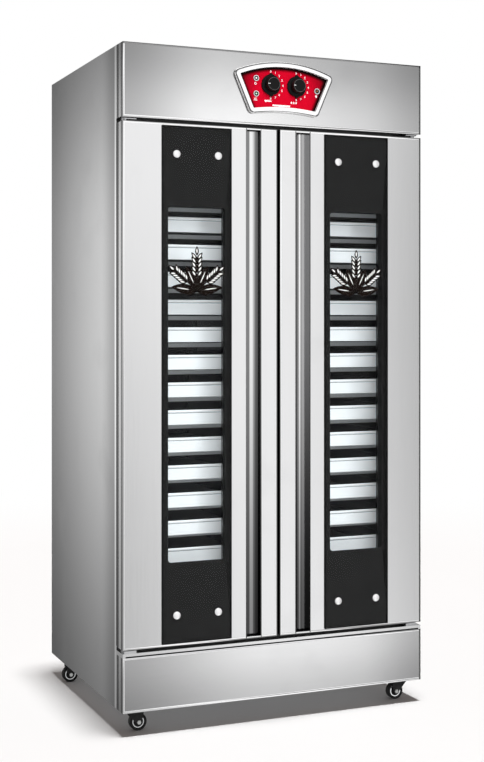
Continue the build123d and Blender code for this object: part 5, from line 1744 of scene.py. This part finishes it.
@dataclass
class Chamber:
    """What is inside: sheets, racks, trays, water pan, heaters and lamps."""

    levels: int = 14
    tray_height: float = 43.0 * MM
    rim_height: float = 7.0 * MM
    rim_out: float = 2.0 * MM
    taper: float = 2.6 * MM
    wall: float = 1.2 * MM
    corner: float = 16.0 * MM

    def build(self) -> None:
        """Dress the chamber and draw the trays."""
        # The chamber's sheets, racks and pan get a nearly black tone as painted shade.
        dress(Finishes.CHAMBER, "chamber_liner", "rack_posts", "tray_rails", "water_pan")
        dress(Finishes.CROSSBAR, "rack_crossbars")
        dress(Finishes.HEATER, "water_heater", "air_heater")
        dress(Finishes.GLOBE, "chamber_lamps")
        for hand in Hand:
            self.trays(hand)

    def trays(self, hand: Hand) -> None:
        """One column of trays.

        Args:
            hand: the side of the column.
        """
        node = f"{hand.value}_trays"
        low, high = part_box(node)
        half = ((high.x - low.x) / 2, (high.y - low.y) / 2)
        pitch = (high.z - low.z - self.tray_height) / (self.levels - 1)
        # The tray finish paints a glow, shade behind each tray's front and a shadow line under each rim.
        finish = TrayMetal("tray_metal_painted_light", low.z, pitch, low.y)
        draft = Draft()
        for level in range(self.levels):
            floor = Vector(((low.x + high.x) / 2, (low.y + high.y) / 2, low.z + level * pitch))
            self.tray(draft, floor, half)
        draft.piece(f"{hand.value}_tray_stack", "root", [finish], [node])

    def tray(self, draft: Draft, floor: Vector, half: tuple[float, float]) -> None:
        """Draw one tray with a rolled rim and rounded corners.

        Args:
            draft: the drawing that it goes on.
            floor: the middle of its underside.
            half: half its width and length over the rim.
        """
        rim = self.rim_out
        foot = rim + self.taper
        wall = self.wall
        top = self.tray_height
        under_rim = top - self.rim_height
        sections = [
            (foot + MM, 0.0),
            (foot, MM),
            (rim, under_rim),
            (0.4 * MM, under_rim + 0.3 * MM),
            (0.0, under_rim + MM),
            (0.0, top - 1.2 * MM),
            (0.6 * MM, top),
            (rim + 0.3 * wall, top),
            (rim + wall, top - 0.9 * MM),
            (foot + wall, 2.2 * MM),
            (foot + wall + MM, wall),
        ]
        loops = []
        for inset, height in sections:
            middle = floor + Vector((0, 0, height))
            loops.append(level_rectangle(middle, (half[0] - inset, half[1] - inset), self.corner - inset))
        draft.skin(loops)


@dataclass
class Castor:
    """One swivel castor: pressed fork with axle nuts, and a wheel with a bright ring."""

    corner: str
    fork_sheet: float = 2.5 * MM
    crown_sheet: float = 3.0 * MM
    race_radius: float = 16.0 * MM
    race_height: float = 6.2 * MM
    kingpin: float = 5.2 * MM
    hub_radius: float = 8.0 * MM
    hub_overhang: float = 1.7 * MM
    web_depth: float = 4.8 * MM
    tread_rounding: float = 2.5 * MM
    ring_from: float = 0.54
    ring_to: float = 0.72
    bore: float = 4.05 * MM
    axle_radius: float = 3.9 * MM
    nut_radius: float = 6.4 * MM
    nut_height: float = 3.0 * MM

    def build(self) -> None:
        """Draw the fork and the wheel."""
        low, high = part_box(f"{self.corner}_wheel")
        centre = (low + high) / 2
        self.wheel(centre, (high.z - low.z) / 2, (high.y - low.y) / 2)
        self.fork(centre, *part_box(f"{self.corner}_fork"))

    def wheel(self, centre: Vector, radius: float, half_hub: float) -> None:
        """A wheel with a rounded tread, a dished web and a bright ring.

        Args:
            centre: the wheel's middle.
            radius: the tread's radius.
            half_hub: half the hub's width.
        """
        half = half_hub - self.hub_overhang
        web = half - self.web_depth
        hub = self.hub_radius
        rounding = self.tread_rounding
        side = [(self.bore, half_hub), (hub - 0.5 * MM, half_hub), (hub, half_hub - 0.5 * MM), (hub, web)]
        side += [(radius * 0.79, web), (radius * 0.82, half - 0.6 * MM)]
        for step in range(6):
            angle = math.pi / 2 * step / 5
            reach = radius - rounding * (1 - math.sin(angle))
            side.append((reach, half - rounding * (1 - math.cos(angle))))
        mirrored = [(reach, -along) for reach, along in reversed(side)]
        draft = Draft()
        draft.turned(side + mirrored, centre, Spin.ALONG_Y, segments=72, closed=True)
        inner, outer = radius * self.ring_from, radius * self.ring_to
        section = [(inner, web), (outer, web), (outer, web + 1.6 * MM), (outer - MM, web + 2.4 * MM)]
        section += [(inner + MM, web + 2.4 * MM), (inner, web + 1.6 * MM)]
        for sign in (-1, 1):
            turned = [(reach, sign * along) for reach, along in section]
            draft.turned(turned, centre, Spin.ALONG_Y, ink=1, segments=72, closed=True)
        body = f"{self.corner}_wheel"
        draft.piece(f"{self.corner}_tread", body, [Finishes.TREAD, Finishes.CHROME], [body])

    def fork(self, centre: Vector, low: Vector, high: Vector) -> None:
        """A pressed fork: race, crown, two tapered legs and the axle with its nuts.

        Args:
            centre: the wheel's middle.
            low: the fork node's lowest corner.
            high: the fork node's highest corner.
        """
        trail = 1 if centre.x > (low.x + high.x) / 2 else -1
        near, far = (low.x, high.x) if trail > 0 else (high.x, low.x)
        middle_y = (low.y + high.y) / 2
        outer = (high.y - low.y) / 2 - self.nut_height
        crown_top = high.z - self.race_height
        crown_low = crown_top - self.crown_sheet
        draft = Draft()
        crown = Vector((low.x, middle_y - outer, crown_low))
        draft.block(crown, Vector((high.x, middle_y + outer, crown_top)))
        foot = arc(Vector((centre.x, 0, centre.z)), self.hub_radius, -10, -170, 12)
        outline = [Vector((near, 0, crown_low)), Vector((far, 0, crown_low))]
        outline += foot if trail > 0 else list(reversed(foot))
        for side in (-1, 1):
            leg = [point + Vector((0, middle_y + side * outer, 0)) for point in outline]
            draft.prism(leg, Vector((0, -side * self.fork_sheet, 0)))
        draft.bevel(0.5 * MM)
        race = [(self.race_radius, crown_top), (self.race_radius, high.z - 1.2 * MM)]
        race += [(self.race_radius - MM, high.z), (self.kingpin, high.z), (self.kingpin, crown_top)]
        swivel = Vector((near + trail * self.race_radius, middle_y, 0))
        draft.turned(race, swivel, Spin.ALONG_Z, ink=1, segments=48, closed=True)
        axle = Vector((centre.x, middle_y, centre.z))
        pin = [(self.axle_radius, -outer), (self.axle_radius, outer)]
        draft.turned(pin, axle, Spin.ALONG_Y, ink=1, segments=24)
        top = outer + self.nut_height
        for side in (-1, 1):
            nut = [(self.nut_radius, side * outer), (self.nut_radius, side * (top - 0.7 * MM))]
            nut.append((self.nut_radius - 0.7 * MM, side * top))
            draft.turned(nut, axle, Spin.ALONG_Y, ink=1, segments=48, relief=Flats(6, 0.0))
        finishes = [Finishes.CASTOR_PAINT, Finishes.ZINC]
        node = f"{self.corner}_fork"
        draft.piece(f"{self.corner}_pressed_fork", f"{self.corner}_swivel", finishes, [node])


@dataclass
class Studio:
    """Floor, soft light and the camera at the photograph's angle."""

    front_plane: float = FRONT
    camera_x: float = -1.634
    camera_ahead: float = 3.598
    camera_height: float = 1.156
    yaw: float = 22.88
    focal_px: float = 1356.0
    image_height_px: float = 762.0
    horizon_px: float = 321.5
    sensor: float = 36.0
    floor_half: float = 40.0
    ambient: float = 0.16
    ambient_tone: Colour = (1.0, 0.84, 0.78, 1.0)
    front_light: float = 1.15
    centre_gain: float = 0.10
    low_loss: float = 0.64
    rear_light: float = 0.06
    ridge_gain: float = 0.93
    side_gain: float = 0.3
    front_shades: tuple[Toning, ...] = (
        Shade("X", 0.425, 0.55, after=0.25),
        Shade("X", -0.7, 0.27, before=0.3),
        Shade("Z", 0.22, 0.5, after=0.4),
    )
    ridge_shades: tuple[Toning, ...] = (
        Shade("X", -0.30, -0.235, after=0.0),
        Shade("Z", 0.05, 0.26, after=0.2),
        Shade("Z", -0.32, 0.0, before=0.25),
    )

    def build(self) -> None:
        """Set up everything around the cabinet."""
        bpy.context.scene.view_settings.view_transform = "Standard"
        bpy.context.scene.view_settings.look = "None"
        self.camera()
        floor = self.floor()
        self.surroundings()
        self.soft_sun("overhead_light", Vector((0.02, -0.03, 1.0)), spread=6.0, power=3.1)
        fill = self.soft_sun("front_fill", Vector((0.0, -1.0, 0.8)), spread=36.0, power=3.4)
        spared = bpy.data.collections.new("not_lit_by_front_fill")
        spared.objects.link(floor)
        fill.light_linking.receiver_collection = spared
        spared.collection_objects[0].light_linking.link_state = "EXCLUDE"

    def camera(self) -> None:
        """Place the camera where the photograph was taken from."""
        data = bpy.data.cameras.new("camera")
        data.sensor_width = self.sensor
        data.lens = self.focal_px / self.image_height_px * self.sensor
        data.shift_y = (self.horizon_px - self.image_height_px / 2) / self.image_height_px
        made = bpy.data.objects.new("camera", data)
        made.location = (self.camera_x, self.front_plane - self.camera_ahead, self.camera_height)
        made.rotation_euler = (math.pi / 2, 0.0, -math.radians(self.yaw))
        bpy.context.scene.collection.objects.link(made)
        bpy.context.scene.camera = made

    def floor(self) -> bpy.types.Object:
        """A wide pale floor under the castors."""
        half = self.floor_half
        draft = bmesh.new()
        corners = ((-half, -half, 0), (half, -half, 0), (half, half, 0), (-half, half, 0))
        draft.faces.new([draft.verts.new(corner) for corner in corners])
        data = bpy.data.meshes.new("studio_floor")
        draft.to_mesh(data)
        draft.free()
        data.materials.append(Finishes.FLOOR.material())
        made = bpy.data.objects.new("studio_floor", data)
        made.visible_glossy = False
        bpy.context.scene.collection.objects.link(made)
        made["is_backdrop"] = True
        return made

    def surroundings(self) -> None:
        """White behind the cabinet, even light all around, and soft bright areas for the steel to mirror."""
        world = bpy.data.worlds.new("studio")
        bpy.context.scene.world = world
        world.use_nodes = True
        sheet = NodeSheet(world.node_tree)
        seen = sheet.add("ShaderNodeLightPath", output="Is Camera Ray")
        gloss = sheet.add("ShaderNodeLightPath", output="Is Glossy Ray")
        strength = self.ambient + (self.mirrored(sheet) - self.ambient) * gloss
        strength = strength + (1.0 - strength) * seen
        tone = sheet.blend(1.0 - (1.0 - gloss) * (1.0 - seen), self.ambient_tone, grey(1.0))
        background = sheet.add("ShaderNodeBackground", sockets={"Color": tone, "Strength": strength})
        sheet.add("ShaderNodeOutputWorld", sockets={"Surface": background})

    def mirrored(self, sheet: NodeSheet) -> Wire:
        """The light that the steel mirrors, by direction.

        Args:
            sheet: the world's sheet.

        Returns:
            Pale in front, dimmer low down, far to either side and high up; dark behind, with one pale ridge.
        """
        direction = sheet.add("ShaderNodeTexCoord", output="Generated")
        across, ahead, level = (sheet.part(direction, axis) for axis in "XYZ")
        centre = sheet.fade(across, 0.30, 0.385)
        low_part = 1.0 - sheet.fade(level, -0.26, 0.18)
        front = self.front_light + centre * self.centre_gain - (1.0 - centre) * low_part * self.low_loss
        front = front * combined(self.front_shades, sheet, direction)
        ridge = combined(self.ridge_shades, sheet, direction)
        side = sheet.fade(across, -0.22, 0.1)
        behind = self.rear_light + ridge * self.ridge_gain + side * self.side_gain
        return front + (behind - front) * sheet.fade(ahead, 0.2, 0.7)

    @staticmethod
    def soft_sun(name: str, source: Vector, spread: float, power: float) -> bpy.types.Object:
        """Add a distant soft light that the steel doesn't mirror.

        Args:
            name: the light's name.
            source: the direction that the light comes from.
            spread: its width seen from the cabinet, in degrees.
            power: its power in watts per square metre.

        Returns:
            The light.
        """
        data = bpy.data.lights.new(name, "SUN")
        data.angle = math.radians(spread)
        data.energy = power
        made = bpy.data.objects.new(name, data)
        made.rotation_mode = "QUATERNION"
        made.rotation_quaternion = (-source).to_track_quat("-Z", "Y")
        made.visible_glossy = False
        bpy.context.scene.collection.objects.link(made)
        return made


def write_sizes() -> None:
    """Gather the box of the solids and the box of the dressed cabinet as plain lists; they are not written
    anywhere.
    """
    boxes = {"cad": CAD_BOUNDS, "visual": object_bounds()}
    plain = {name: [list(corner) for corner in corners] for name, corners in boxes.items()}


def main() -> None:
    """Build the cabinet's looks and the studio around it."""
    logging.basicConfig(level=logging.INFO, format="%(message)s")
    Casing().build()
    for hand in Hand:
        Door(hand).build()
    ControlPanel().build()
    Chamber().build()
    for corner in ("front_left", "front_right", "rear_left", "rear_right"):
        Castor(corner).build()
    Studio().build()
    write_sizes()


if __name__ == "__main__":
    main()
